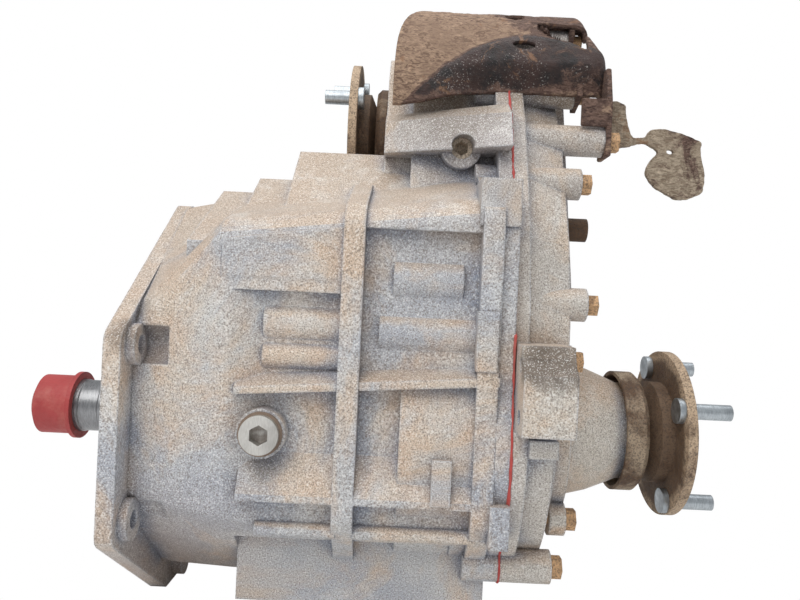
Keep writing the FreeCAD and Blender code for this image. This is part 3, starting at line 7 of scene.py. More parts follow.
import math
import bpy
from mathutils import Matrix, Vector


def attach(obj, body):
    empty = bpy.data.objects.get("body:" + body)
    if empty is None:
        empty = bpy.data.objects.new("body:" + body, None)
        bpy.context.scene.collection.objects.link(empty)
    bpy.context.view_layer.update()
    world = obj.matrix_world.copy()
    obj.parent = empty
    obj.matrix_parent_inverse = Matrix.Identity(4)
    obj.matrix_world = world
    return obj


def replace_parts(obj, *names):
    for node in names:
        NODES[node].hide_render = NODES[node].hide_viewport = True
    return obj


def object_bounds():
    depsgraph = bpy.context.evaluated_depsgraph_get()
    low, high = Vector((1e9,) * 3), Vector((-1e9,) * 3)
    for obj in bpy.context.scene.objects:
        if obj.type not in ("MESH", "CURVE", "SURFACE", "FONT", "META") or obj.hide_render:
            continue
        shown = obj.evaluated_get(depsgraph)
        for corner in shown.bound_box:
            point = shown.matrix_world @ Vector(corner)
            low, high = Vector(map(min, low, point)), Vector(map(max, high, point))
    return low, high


bl_info = {
    "name": "Transfer case looks",
    "version": (1, 0, 0),
    "blender": (4, 5, 0),
    "location": "View3D > Sidebar > Transfer case",
    "description": "Weathered materials, surface pieces and stage for the transfer case",
    "category": "Object",
}

import bmesh
import bpy
import numpy as np
from mathutils import Vector
from mathutils.bvhtree import BVHTree

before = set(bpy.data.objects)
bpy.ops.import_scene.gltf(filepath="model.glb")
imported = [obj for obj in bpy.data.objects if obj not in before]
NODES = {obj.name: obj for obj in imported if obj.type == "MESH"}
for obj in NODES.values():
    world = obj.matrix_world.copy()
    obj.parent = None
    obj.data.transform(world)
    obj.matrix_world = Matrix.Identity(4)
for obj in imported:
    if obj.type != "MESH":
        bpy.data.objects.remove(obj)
FIRST_BOUNDS = [list(corner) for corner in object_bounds()]
MM = 0.001
# the loose plate behind the guard, as an outline (x, z) in millimetres
TAIL_OUTLINE = [
    (294, 219),
    (305, 220),
    (307, 211),
    (311, 200),
    (314, 198),
    (320, 199),
    (325, 204),
    (337, 204),
    (354, 199),
    (358, 196),
    (358, 190),
    (361, 175),
    (360, 164),
    (352, 159),
    (344, 158),
    (337, 161),
    (328, 166),
    (322, 175),
    (324, 182),
    (329, 189),
    (324, 193),
    (319, 195),
    (312, 193),
    (304, 191),
    (296, 189),
]
# distance between the two shafts and the way the front one leans, as in the machine drawing
CENTRES = 0.219075
LEAN = math.radians(19.19)
FRONT_AXIS = (CENTRES * math.sin(LEAN), CENTRES * math.cos(LEAN))
# the case joint: its plane along X and a point (y, z) inside it
JOINT_FACE = 0.227
JOINT_MIDDLE = (0.030, 0.100)
# half the gap between the two planes that the joint's outline is looked for in, and where rays start
JOINT_STEP = 0.0012
RAY_REACH = 0.4
# the guard: radius of its outside, thickness, and its edges in degrees round the front axis,
# counted from +Y over the top
GUARD_RADIUS = 0.0957
GUARD_THICK = 0.003
GUARD_FAR_EDGE = 12.0
GUARD_NEAR_EDGE = 178.0
GUARD_GRID_EDGE = 180.0
# length of sheet that the guard's rolled end takes up
GUARD_ROLL = 0.012
# thickness of the flat plates that hang on the guard
PLATE_THICK = 0.0035
# dark patches on the castings: the middle, the reach and the darkness of each
FRONT_CASE_STAINS = (
    ((0.012, -0.100, 0.060), 0.014, 0.7),
    ((0.016, -0.072, 0.064), 0.014, 0.6),
    ((0.087, -0.085, -0.016), 0.012, 0.4),
    ((0.190, -0.030, 0.216), 0.045, 0.6),
)
REAR_CASE_STAINS = (
    ((0.243, -0.118, 0.058), 0.022, 0.9),
    ((0.232, -0.118, 0.054), 0.018, 0.85),
    ((0.254, -0.118, 0.054), 0.018, 0.85),
    ((0.245, -0.020, 0.232), 0.040, 0.6),
)
# colours of the castings
BLUE_METAL = (0.40, 0.43, 0.50)
PALE_METAL = (0.60, 0.60, 0.60)
WARM_METAL = (0.66, 0.60, 0.52)
# pale blue-white for the rib edges: wear with a painted highlight
EDGE_WEAR_AND_HIGHLIGHT = (0.80, 0.83, 0.88)
RED_TAN = (0.68, 0.46, 0.29)
PALE_TAN = (0.70, 0.57, 0.44)
TOP_DUST = (0.47, 0.37, 0.29)
UPPER_GREY = (0.44, 0.39, 0.36)
UPPER_BROWN = (0.50, 0.40, 0.31)
LOWER_BROWN = (0.44, 0.31, 0.22)
# painted shade for the casting's corners: blue-grey, and brown where dust lies in them
CORNER_SHADE_BLUE = (0.25, 0.29, 0.38)
CORNER_DUST_AND_SHADE = (0.44, 0.32, 0.22)
CHALK = (0.80, 0.79, 0.76)
# colours that several rusty pieces share: sandy scale, brown rust and black steel
SAND = (0.47, 0.32, 0.22)
BROWN = (0.19, 0.115, 0.080)
BLACK = (0.020, 0.016, 0.017)
FLANGE_DUST = (0.46, 0.34, 0.23)
# camera and lights
EYE = (0.161, -0.495, 0.082)
EYE_ROLL = math.radians(-2.68)
LENS = 32.4
FLOOR_HALF = 6.0
LAMP_TARGET = (0.14, 0.0, 0.06)


# ---------------------------------------------------------------------------
# Materials
# ---------------------------------------------------------------------------
class Tree:
    """A material under construction: adds shader nodes and links them."""

    def __init__(self, name):
        self.material = bpy.data.materials.new(name)
        self.material.use_nodes = True
        self.tree = self.material.node_tree
        self.tree.nodes.clear()
        self.place = self.add("ShaderNodeTexCoord").outputs["Object"]

    def add(self, kind, inputs=None, **settings):
        node = self.tree.nodes.new(kind)
        for key, value in settings.items():
            setattr(node, key, value)
        for key, value in (inputs or {}).items():
            socket = node.inputs[key]
            if isinstance(value, bpy.types.NodeSocket):
                self.tree.links.new(value, socket)
            else:
                socket.default_value = value
        return node

    def noise(self, scale, detail=3.0, rough=0.55, warp=0.0, stretch=None):
        place = self.place
        if stretch:
            place = self.add("ShaderNodeMapping", {"Vector": place, "Scale": stretch}).outputs[0]
        inputs = {"Vector": place, "Scale": scale, "Detail": detail, "Roughness": rough}
        inputs["Distortion"] = warp
        return self.add("ShaderNodeTexNoise", inputs).outputs["Fac"]

    def cells(self, scale):
        inputs = {"Vector": self.place, "Scale": scale, "Randomness": 1.0}
        return self.add("ShaderNodeTexVoronoi", inputs).outputs["Distance"]

    def span(self, value, low, high, out_low=0.0, out_high=1.0):
        """The value's stretch from low to high, mapped onto another stretch and held inside it."""
        inputs = {"Value": value, "From Min": low, "From Max": high}
        inputs["To Min"] = out_low
        inputs["To Max"] = out_high
        return self.add("ShaderNodeMapRange", inputs).outputs["Result"]

    def sum(self, a, b, operation="ADD", hold=False):
        return self.add("ShaderNodeMath", {0: a, 1: b}, operation=operation, use_clamp=hold).outputs[0]

    def times(self, a, b):
        return self.sum(a, b, "MULTIPLY")

    def blend(self, share, a, b):
        """Two colours mixed: the first where the share is 0, the second where it is 1."""
        node = self.add("ShaderNodeMix", {"Factor": share}, data_type="RGBA", blend_type="MIX")
        for socket, value in ((node.inputs[6], a), (node.inputs[7], b)):
            if isinstance(value, bpy.types.NodeSocket):
                self.tree.links.new(value, socket)
            else:
                socket.default_value = (*value, 1.0)
        return node.outputs[2]

    def away(self, place, point):
        """The distance between a place and a point."""
        inputs = {0: place, 1: point}
        return self.add("ShaderNodeVectorMath", inputs, operation="DISTANCE").outputs["Value"]

    def hollows(self, reach):
        """How deep in a corner a point lies: 0 in the open and near 1 in a tight corner."""
        inputs = {"Distance": reach}
        shade = self.add("ShaderNodeAmbientOcclusion", inputs, samples=6).outputs["AO"]
        return self.sum(1.0, shade, "SUBTRACT")

    def edges(self, reach):
        """The surface direction with corners rounded off over the reach."""
        return self.add("ShaderNodeBevel", {"Radius": reach}, samples=4).outputs["Normal"]

    def relief(self, height, depth, before):
        """The surface direction before, tilted as if the surface rose by the height times the depth."""
        inputs = {"Height": height, "Distance": depth, "Strength": 1.0, "Normal": before}
        return self.add("ShaderNodeBump", inputs).outputs["Normal"]

    def part_of_place(self, axis):
        return self.add("ShaderNodeSeparateXYZ", {0: self.place}).outputs[axis]

    def finish(self, colour, rough, metal, normal):
        inputs = {"Roughness": rough, "Metallic": metal, "Normal": normal}
        shader = self.add("ShaderNodeBsdfPrincipled", inputs)
        if isinstance(colour, bpy.types.NodeSocket):
            self.tree.links.new(colour, shader.inputs["Base Color"])
        else:
            shader.inputs["Base Color"].default_value = (*colour, 1.0)
        self.add("ShaderNodeOutputMaterial", {"Surface": shader.outputs[0]})
        return self.material


def casting(name, dust, sand, corner_shade, stains=(), warmth=0.0):
    """Sand-cast aluminium under dried dust: pale metal, painted blue-grey shade in the hollows, tan dust,
    specks and pits.

    Dust is the share of the metal under tan dust, sand the depth of the grain and corner shade the darkness
    of the painted shade in tight corners. A stain is a soft round dark patch: its middle, its reach and how
    dark it is.
    Warmth is how far the bare metal leans from blue-grey towards a warm grey.
    """
    t = Tree(name)
    metal = t.blend(t.span(t.noise(14, 4, 0.6), 0.38, 0.62), BLUE_METAL, PALE_METAL)
    metal = t.blend(warmth, metal, WARM_METAL)
    tan = t.blend(t.span(t.noise(45, 4), 0.35, 0.65), RED_TAN, PALE_TAN)
    facing = t.add("ShaderNodeNewGeometry").outputs["Normal"]
    up = t.add("ShaderNodeSeparateXYZ", {0: facing}).outputs["Z"]
    settled = t.span(up, 0.25, 0.80, 0.0, 0.16)
    patches = t.span(t.sum(t.noise(13, 6, 0.65, 0.7), settled), 0.47, 0.60)
    colour = t.blend(t.times(patches, dust), metal, tan)
    colour = t.blend(t.span(up, 0.30, 0.90, 0.0, 0.65), colour, TOP_DUST)
    high = t.span(t.part_of_place("Z"), 0.09, 0.17, 0.0, 0.6)
    colour = t.blend(high, colour, t.blend(patches, UPPER_GREY, UPPER_BROWN))
    low = t.times(t.span(t.part_of_place("Z"), -0.02, -0.09), t.span(t.part_of_place("X"), 0.10, 0.03))
    colour = t.blend(t.times(low, 0.6), colour, LOWER_BROWN)
    # painted shade in the corners: blue-grey where the noise is high, elsewhere brown, part dust and part
    # shade
    corners = t.span(t.hollows(0.013), 0.10, 0.46)
    cold = t.span(t.noise(23, 3, 0.5), 0.34, 0.54)
    colour = t.blend(t.times(corners, t.times(cold, 0.85)), colour, CORNER_SHADE_BLUE)
    warm = t.times(corners, t.sum(1.0, cold, "SUBTRACT"))
    colour = t.blend(t.times(warm, 0.5), colour, CORNER_DUST_AND_SHADE)
    pale = t.span(t.noise(34, 6, 0.7, 0.3), 0.53, 0.66)
    colour = t.blend(t.times(pale, 0.38), colour, CHALK)
    rounded = t.edges(0.0024)
    inputs = {0: rounded, 1: facing}
    match = t.add("ShaderNodeVectorMath", inputs, operation="DOT_PRODUCT").outputs["Value"]
    # convex edges away from corners made paler: edge wear and a painted highlight
    ridge = t.times(t.span(match, 0.99, 0.85), t.span(t.hollows(0.004), 0.25, 0.08))
    worn = t.times(ridge, t.span(t.noise(140, 4), 0.30, 0.55))
    colour = t.blend(t.times(worn, 0.7), colour, EDGE_WEAR_AND_HIGHLIGHT)
    # tight corners darkened towards near black: painted shade
    deep = t.span(t.hollows(0.0032), 0.26, 0.80)
    colour = t.blend(t.times(deep, corner_shade), colour, (0.10, 0.08, 0.065))
    for middle, reach, dark in stains:
        edge = t.sum(t.away(t.place, middle), t.times(t.noise(120, 4, 0.6), reach * 0.9))
        patch = t.span(edge, reach * 1.5, reach * 0.9, 0.0, dark)
        colour = t.blend(patch, colour, (0.13, 0.10, 0.075))
    grain = t.noise(1250, 2, 0.6)
    colour = t.blend(t.span(grain, 0.49, 0.36, 0.0, 0.75), colour, (0.20, 0.165, 0.14))
    colour = t.blend(t.span(grain, 0.55, 0.66, 0.0, 0.65), colour, (0.93, 0.92, 0.90))
    specks = t.times(t.span(t.cells(260), 0.07, 0.035), t.span(t.noise(70, 2), 0.52, 0.58))
    colour = t.blend(specks, colour, (0.05, 0.04, 0.03))
    height = t.sum(t.noise(700, 3, 0.6), t.times(t.noise(90, 3), 1.2))
    height = t.sum(height, t.times(specks, -0.8))
    normal = t.relief(height, sand, rounded)
    rough = t.span(grain, 0.3, 0.7, 0.46, 0.70)
    return t.finish(colour, rough, 0.15, normal)


def steel(name, light, dark, rough, scratch, rust=0.0):
    """Worked steel with turning lines round the shafts, stains and, where wanted, patches of rust."""
    t = Tree(name)
    lines = t.noise(260, 3, 0.6, 0.0, (14.0, 1.0, 1.0))
    colour = t.blend(t.span(lines, 0.3, 0.7), dark, light)
    stain = t.span(t.noise(40, 4, 0.6, 0.4), 0.50, 0.66)
    colour = t.blend(t.times(stain, 0.4), colour, tuple(0.45 * c for c in dark))
    spread = t.sum(t.noise(55, 5, 0.7, 0.3), t.times(t.hollows(0.006), 0.25))
    patch = t.times(t.span(spread, 0.62 - 0.25 * rust, 0.72 - 0.2 * rust), min(1.0, 3 * rust))
    colour = t.blend(patch, colour, (0.16, 0.075, 0.035))
    metal = t.sum(0.9, t.times(patch, 0.8), "SUBTRACT")
    height = t.sum(t.times(lines, scratch), t.times(t.noise(500, 3), 0.4 + rust))
    dull = t.sum(t.span(lines, 0.3, 0.7, rough - 0.06, rough + 0.08), t.times(patch, 0.35))
    return t.finish(colour, dull, metal, t.relief(height, 0.00012, t.edges(0.0006)))


def dusty_rust(name, dust_share, dust_colour=(0.52, 0.40, 0.28), hub=None):
    """Dark brown-black rust under pale dust, with pits. A hub keeps its inner face nearly black: bare rust,
    with painted shade.

    A hub is the (y, z) of its axis, its radius, and the lowest and highest X of that face.
    """
    t = Tree(name)
    rust = t.blend(t.noise(120, 5, 0.7), (0.045, 0.028, 0.018), (0.20, 0.115, 0.065))
    paler = tuple(min(1.0, 1.25 * c + 0.03) for c in dust_colour)
    dust = t.blend(t.noise(200, 4), dust_colour, paler)
    share = t.span(t.noise(38, 5, 0.65, 0.4), 0.62 - 0.3 * dust_share, 0.78 - 0.3 * dust_share)
    # the hub's inner face keeps almost no dust: its near-black is bare rust and painted shade
    if hub:
        centre, rim, low, high = hub
        inputs = {0: t.place, 1: (0.0, 1.0, 1.0)}
        flat = t.add("ShaderNodeVectorMath", inputs, operation="MULTIPLY").outputs[0]
        wander = t.sum(t.away(flat, (0.0, *centre)), t.times(t.noise(70, 4), 0.010))
        across = t.part_of_place("X")
        band = t.times(t.span(across, low, low + 0.001), t.span(across, high + 0.001, high))
        inner = t.times(t.span(wander, rim + 0.006, rim + 0.002), band)
        share = t.times(share, t.span(inner, 0.0, 1.0, 1.0, 0.12))
    colour = t.blend(share, rust, dust)
    grain = t.noise(900, 2, 0.6)
    colour = t.blend(t.span(grain, 0.52, 0.38, 0.0, 0.6), colour, (0.04, 0.03, 0.025))
    pits = t.span(t.cells(330), 0.30, 0.08)
    colour = t.blend(t.times(pits, 0.35), colour, (0.09, 0.05, 0.03))
    height = t.sum(t.noise(420, 4, 0.65), t.times(pits, -0.6))
    rough = t.span(grain, 0.3, 0.7, 0.62, 0.85)
    return t.finish(colour, rough, 0.1, t.relief(height, 0.0005, t.edges(0.0008)))


def plain(name, light, dark, rough, depth=0.0003, scale=150.0, dust=0.3, dust_colour=(0.42, 0.33, 0.25)):
    """A moulded surface: two close tones, a fine grain, and dust lying in its corners."""
    t = Tree(name)
    colour = t.blend(t.span(t.noise(scale * 0.3, 4, 0.6), 0.35, 0.65), dark, light)
    smudge = t.sum(t.hollows(0.006), t.span(t.noise(60, 5, 0.65), 0.52, 0.72), "ADD", True)
    colour = t.blend(t.times(smudge, dust), colour, dust_colour)
    grain = t.noise(scale * 5, 3, 0.6)
    height = t.sum(grain, t.times(t.noise(scale * 0.5, 2), 1.5))
    spread = t.span(grain, 0.3, 0.7, rough - 0.07, rough + 0.07)
    return t.finish(colour, spread, 0.0, t.relief(height, depth, t.edges(0.0005)))


def scaled_plate(name, sand, brown, dark, bare=None, share=0.0):
    """A plate whose paint flakes off: sandy scale in slanted ridges, then red-brown rust, then black steel.

    Bare names the surface's own record of how bare it is; without one, the share is the same all over.
    """
    t = Tree(name)
    inputs = {"Vector": t.place, "Rotation": (0.0, 0.6, 0.0), "Scale": (1.0, 1.0, 2.2)}
    turned = t.add("ShaderNodeMapping", inputs).outputs[0]
    inputs = {"Vector": turned, "Scale": 210.0, "Detail": 7.0, "Roughness": 0.72, "Distortion": 1.2}
    ridges = t.add("ShaderNodeTexNoise", inputs).outputs["Fac"]
    scale = t.blend(t.span(ridges, 0.42, 0.54), brown, sand)
    paler = tuple(min(1.0, 1.35 * c + 0.03) for c in sand)
    scale = t.blend(t.span(ridges, 0.55, 0.70), scale, paler)
    worn = t.span(t.noise(32, 6, 0.7, 0.6), 0.46, 0.62, 0.0, 0.8)
    scale = t.blend(worn, scale, t.blend(ridges, brown, sand))
    record = t.add("ShaderNodeAttribute", attribute_name=bare).outputs["Fac"] if bare else share
    level = t.sum(record, t.times(t.sum(t.noise(48, 8, 0.75, 0.8), -0.5), 1.7))
    reddish = t.blend(t.span(ridges, 0.40, 0.62), (0.075, 0.040, 0.032), (0.27, 0.17, 0.13))
    colour = t.blend(t.span(level, 0.26, 0.42), scale, reddish)
    steel_colour = t.blend(t.span(t.noise(48, 5, 0.7), 0.42, 0.58), dark, (0.060, 0.032, 0.027))
    black = t.span(level, 0.62, 0.80)
    colour = t.blend(black, colour, steel_colour)
    orange = t.times(t.span(t.noise(36, 6, 0.75, 0.6), 0.60, 0.66), 0.7)
    colour = t.blend(orange, colour, (0.33, 0.17, 0.085))
    # pale specks over the black steel: painted glints
    glint_specks = t.span(t.noise(900, 2, 0.7), 0.60, 0.68, 0.0, 0.8)
    glint_specks = t.times(glint_specks, t.span(t.noise(40, 4, 0.6), 0.48, 0.60))
    colour = t.blend(t.times(glint_specks, t.span(level, 0.50, 0.80)), colour, (0.66, 0.62, 0.58))
    height = t.sum(t.times(ridges, 1.2), t.times(t.noise(620, 3, 0.65), 0.8))
    rough = t.span(black, 0.0, 1.0, 0.88, 0.45)
    return t.finish(colour, rough, t.times(black, 0.2), t.relief(height, 0.0022, t.edges(0.001)))


def paint(material, *names):
    """Gives one material to the pieces of the frame that are named."""
    for name in names:
        mesh = NODES[name].data
        mesh.materials.clear()
        mesh.materials.append(material)


# ---------------------------------------------------------------------------
# Surfaces made from formulas
# ---------------------------------------------------------------------------
def surface(name, points, faces, material, body, slot, **records):
    """One mesh piece at the origin, riding on a body, from arrays of points and of corners.

    Points that no face uses are left out. A record is one number per point for the material.
    """
    used, faces = np.unique(faces, return_inverse=True)
    faces = faces.reshape(-1, 4)
    mesh = bpy.data.meshes.new(name)
    mesh.from_pydata(points[used].tolist(), [], faces.tolist())
    mesh.update()
    mesh.polygons.foreach_set("use_smooth", [True] * len(mesh.polygons))
    for title, values in records.items():
        mesh.attributes.new(title, "FLOAT", "POINT").data.foreach_set("value", values[used])
    mesh.materials.append(material)
    piece = bpy.data.objects.new(name, mesh)
    bpy.context.scene.collection.objects.link(piece)
    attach(piece, body)
    return piece


def lattice(rows, columns, closed=False):
    """The four-cornered faces of a grid of rows by columns, closed round its columns if asked."""
    steps = np.arange(columns if closed else columns - 1)
    row, left = np.meshgrid(np.arange(rows - 1), steps, indexing="ij")
    right = (left + 1) % columns
    low = row * columns
    high = low + columns
    return np.stack([low + left, low + right, high + right, high + left], axis=-1).reshape(-1, 4)


def bead(name, path, radii, material, body, slot):
    """A closed bead along a closed path: a tube whose radius changes from point to point."""
    sides = 8
    count = len(path)
    along = np.roll(path, -1, axis=0) - np.roll(path, 1, axis=0)
    along /= np.linalg.norm(along, axis=1)[:, None]
    side = np.tile(np.array([1.0, 0.0, 0.0]), (count, 1))
    out = np.cross(along, side)
    angles = (2 * np.pi * np.arange(sides) / sides)[None, :, None]
    ring = side[:, None, :] * np.cos(angles) + out[:, None, :] * np.sin(angles)
    points = (path[:, None, :] + ring * radii[:, None, None]).reshape(-1, 3)
    faces = lattice(count + 1, sides, True) % (count * sides)
    return surface(name, points, faces, material, body, slot)


def smooth(value, low, high):
    """0 below low, 1 above high, and an even S-curve between them."""
    share = np.clip((value - low) / (high - low), 0.0, 1.0)
    return share * share * (3.0 - 2.0 * share)


def waves(a, b, seed, count=7, longest=1.0):
    """A smooth random sheet between about -1 and 1: a sum of slanted waves of falling length."""
    rng = np.random.default_rng(seed)
    total = np.zeros(np.broadcast(a, b).shape)
    weight = 0.0
    for k in range(count):
        length = longest / (1.0 + 0.7 * k)
        turn, shift = rng.uniform(0, 2 * np.pi, 2)
        across = a * np.cos(turn) + b * np.sin(turn)
        total += np.sin(2 * np.pi * across / length + shift) / (1 + 0.5 * k)
        weight += 0.5 / (1 + 0.5 * k)
    return total / weight / 1.6


def joint_outline(count):
    """Points (y, z) round the case joint.

    A ray comes in from outside towards the joint's middle, just before and just behind the joint
    face. The outline goes through the inner of the two hits.
    """
    trees = []
    for name, step in (("front_case", -JOINT_STEP), ("rear_case", JOINT_STEP)):
        mesh = NODES[name].data
        corners = [vertex.co for vertex in mesh.vertices]
        faces = [tuple(polygon.vertices) for polygon in mesh.polygons]
        trees.append((BVHTree.FromPolygons(corners, faces), JOINT_FACE + step))
    path = []
    for turn in np.linspace(0.0, 2 * np.pi, count, endpoint=False):
        out = Vector((0.0, math.cos(turn), math.sin(turn)))
        hits = []
        for tree, x in trees:
            start = Vector((x, *JOINT_MIDDLE)) + RAY_REACH * out
            hit = tree.ray_cast(start, -out)
            if hit[0] is not None:
                hits.append(RAY_REACH - hit[3])
        reach = min(hits)
        path.append((JOINT_MIDDLE[0] + reach * out.y, JOINT_MIDDLE[1] + reach * out.z))
    return np.array(path)


def flowing(corners, count, roughness, seed):
    """A closed outline that flows through its corners, with a ragged edge of the given depth.

    Each stretch is a cubic that takes its slopes from its neighbours.
    """
    p = np.array(corners, float)
    t = np.linspace(0.0, 1.0, count, endpoint=False)[None, :, None]
    before, here, after, later = (np.roll(p, k, axis=0)[:, None, :] for k in (1, 0, -1, -2))
    bend = 2 * here + (after - before) * t + (2 * before - 5 * here + 4 * after - later) * t**2
    line = (0.5 * (bend + (3 * here - before - 3 * after + later) * t**3)).reshape(-1, 2)
    along = np.roll(line, -1, axis=0) - np.roll(line, 1, axis=0)
    side = np.stack([along[:, 1], -along[:, 0]], axis=1)
    side /= np.linalg.norm(side, axis=1)[:, None]
    return line + side * roughness * waves(line[:, 0], line[:, 1], seed, 9, 9.0)[:, None]


def plate(name, outline, start, thick, axis, material, body, holes=()):
    """A flat piece with softened edges: an outline pushed along one axis, with round holes in it."""
    mesh = bpy.data.meshes.new(name)
    form = bmesh.new()
    flat = []
    for loop in (outline, *holes):
        ring = []
        for a, b in loop:
            spot = [a, b]
            spot.insert(axis, start)
            ring.append(form.verts.new(spot))
        flat += [form.edges.new((ring[k - 1], ring[k])) for k in range(len(ring))]
    bmesh.ops.triangle_fill(form, edges=flat, use_beauty=True)
    push = [0.0, 0.0, 0.0]
    push[axis] = thick
    grown = bmesh.ops.extrude_face_region(form, geom=form.faces[:])
    moved = [g for g in grown["geom"] if isinstance(g, bmesh.types.BMVert)]
    bmesh.ops.translate(form, vec=push, verts=moved)
    bmesh.ops.recalc_face_normals(form, faces=form.faces[:])
    form.to_mesh(mesh)
    form.free()
    mesh.materials.append(material)
    piece = bpy.data.objects.new(name, mesh)
    bpy.context.scene.collection.objects.link(piece)
    soft = piece.modifiers.new("Soft edges", "BEVEL")
    soft.width = thick * 0.3
    soft.segments = 2
    soft.limit_method = "ANGLE"
    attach(piece, body)
    return piece


# ---------------------------------------------------------------------------
# Settings, operators and panel
# ---------------------------------------------------------------------------
class CaseLooks(bpy.types.PropertyGroup):
    """What can be changed about the looks."""

    dust: bpy.props.FloatProperty(
        name="Dust",
        description="How much of the casting the tan dust covers",
        default=0.75,
        min=0.0,
        max=1.0,
    )
    sand_depth: bpy.props.FloatProperty(
        name="Casting grain",
        description="Depth of the sand-cast grain",
        default=0.0007,
        min=0.0,
        max=0.002,
        unit="LENGTH",
        precision=5,
    )
    # darkness of the painted shade in the casting's tight corners
    corner_shade: bpy.props.FloatProperty(
        name="Corner shade",
        description="How dark the tight corners of the casting are",
        default=0.65,
        min=0.0,
        max=1.0,
    )
    key_power: bpy.props.FloatProperty(
        name="Key light",
        description="Power of the large light above the near side, in watts",
        default=8.5,
        min=0.0,
    )
    room_light: bpy.props.FloatProperty(
        name="Room light",
        description="Strength of the even light from all round",
        default=0.50,
        min=0.0,
    )


def looks():
    """The settings that the panel shows."""
    return bpy.context.scene.case_looks


class CASE_OT_castings(bpy.types.Operator):
    """Weather the cast cases and the bearing retainer"""

    bl_idname = "case.castings"
    bl_label = "Castings"

    def execute(self, context):
        p = looks()
        sand = p.sand_depth
        front = casting("Front case", p.dust, sand, p.corner_shade, FRONT_CASE_STAINS, 0.1)
        paint(front, "front_case")
        rear = casting("Rear case", p.dust * 0.8, sand, p.corner_shade, REAR_CASE_STAINS, 0.75)
        paint(rear, "rear_case")
        extension = casting("Extension", min(1.0, p.dust + 0.2), sand, p.corner_shade, (), 0.9)
        paint(extension, "extension_housing")
        clean = casting("Casting, clean", 0.25, sand * 0.6, p.corner_shade)
        paint(clean, "bearing_retainer")
        return {"FINISHED"}


class CASE_OT_shafts(bpy.types.Operator):
    """Finish the shafts, their cap and their bearings"""

    bl_idname = "case.shafts"
    bl_label = "Shafts, cap and bearings"

    def execute(self, context):
        bright = steel("Turned shaft", (0.36, 0.37, 0.38), (0.18, 0.18, 0.19), 0.32, 0.4)
        paint(bright, "input_shaft", "mainshaft", "front_output_shaft", "shaft_spacer")
        paint(bright, "range_rail", "drive_rail")
        races = steel("Bearing steel", (0.62, 0.63, 0.64), (0.40, 0.41, 0.42), 0.2, 0.2)
        paint(races, "pilot_bearing")
        for place in ("input", "rear", "front", "tail"):
            paint(races, place + "_bearing_inner", place + "_bearing_outer")
        light, dark, dusty = (0.47, 0.064, 0.062), (0.35, 0.04, 0.04), (0.55, 0.22, 0.17)
        cap = plain("Red cap", light, dark, 0.55, 0.0006, 60.0, 0.35, dusty)
        paint(cap, "shaft_cap")
        rubber = plain("Seal rubber", (0.025, 0.024, 0.024), (0.012, 0.012, 0.012), 0.5)
        paint(rubber, "input_seal", "rear_seal", "front_seal")
        return {"FINISHED"}


class CASE_OT_gears(bpy.types.Operator):
    """Finish the gears, collars, forks and chain inside the case"""

    bl_idname = "case.gears"
    bl_label = "Gears and chain"

    def execute(self, context):
        oiled = steel("Oiled gear steel", (0.46, 0.45, 0.43), (0.22, 0.21, 0.20), 0.26, 0.3)
        paint(oiled, "ring_gear", "planet_gear_1", "planet_gear_2", "planet_gear_3", "drive_sprocket")
        paint(oiled, "range_sleeve", "drive_sleeve", "planet_pins")
        forged = steel("Forged steel", (0.36, 0.34, 0.32), (0.17, 0.16, 0.15), 0.42, 0.1, 0.12)
        paint(forged, "planet_carrier", "range_fork", "drive_fork")
        links = steel("Chain steel", (0.30, 0.29, 0.28), (0.12, 0.12, 0.12), 0.3, 0.6)
        paint(links, "drive_chain")
        nylon = plain("Nylon", (0.78, 0.76, 0.68), (0.66, 0.63, 0.55), 0.45, 0.0002, 120.0, 0.1)
        paint(nylon, "speedometer_gear")
        return {"FINISHED"}


class CASE_OT_flanges(bpy.types.Operator):
    """Rust the output flanges, nuts and dust rings, and plate their studs"""

    bl_idname = "case.flanges"
    bl_label = "Output flanges"

    def execute(self, context):
        rear = ((0.0, 0.0), 0.050, 0.325, 0.3473)
        front = (FRONT_AXIS, 0.050, 0.1183, 0.140)
        paint(dusty_rust("Rear flange rust", 0.85, FLANGE_DUST, rear), "rear_flange")
        paint(dusty_rust("Front flange rust", 0.85, FLANGE_DUST, front), "front_flange")
        paint(dusty_rust("Dust ring", 0.6, (0.34, 0.26, 0.18)), "rear_deflector", "front_deflector")
        paint(dusty_rust("Nut rust", 0.3), "rear_flange_nut", "front_flange_nut")
        zinc = steel("Zinc", (0.62, 0.67, 0.70), (0.30, 0.33, 0.36), 0.36, 0.8)
        paint(zinc, "rear_flange_studs", "front_flange_studs")
        return {"FINISHED"}


class CASE_OT_fasteners(bpy.types.Operator):
    """Finish the bolts and plugs"""

    bl_idname = "case.fasteners"
    bl_label = "Bolts and plugs"

    def execute(self, context):
        bolts = dusty_rust("Bolt heads", 1.0, (0.58, 0.36, 0.19))
        paint(bolts, "case_bolts", "extension_bolts", "retainer_bolts")
        plug = steel("Plug", (0.74, 0.73, 0.70), (0.52, 0.50, 0.47), 0.5, 0.3, 0.15)
        paint(plug, "filler_plug")
        gasket = plain("Gasket", (0.30, 0.22, 0.16), (0.18, 0.13, 0.10), 0.8)
        paint(gasket, "filler_gasket")
        paint(dusty_rust("Upper plug dust", 0.9, (0.50, 0.42, 0.33)), "upper_plug")
        paint(dusty_rust("Detent rust", 0.05), "detent_plug")
        return {"FINISHED"}


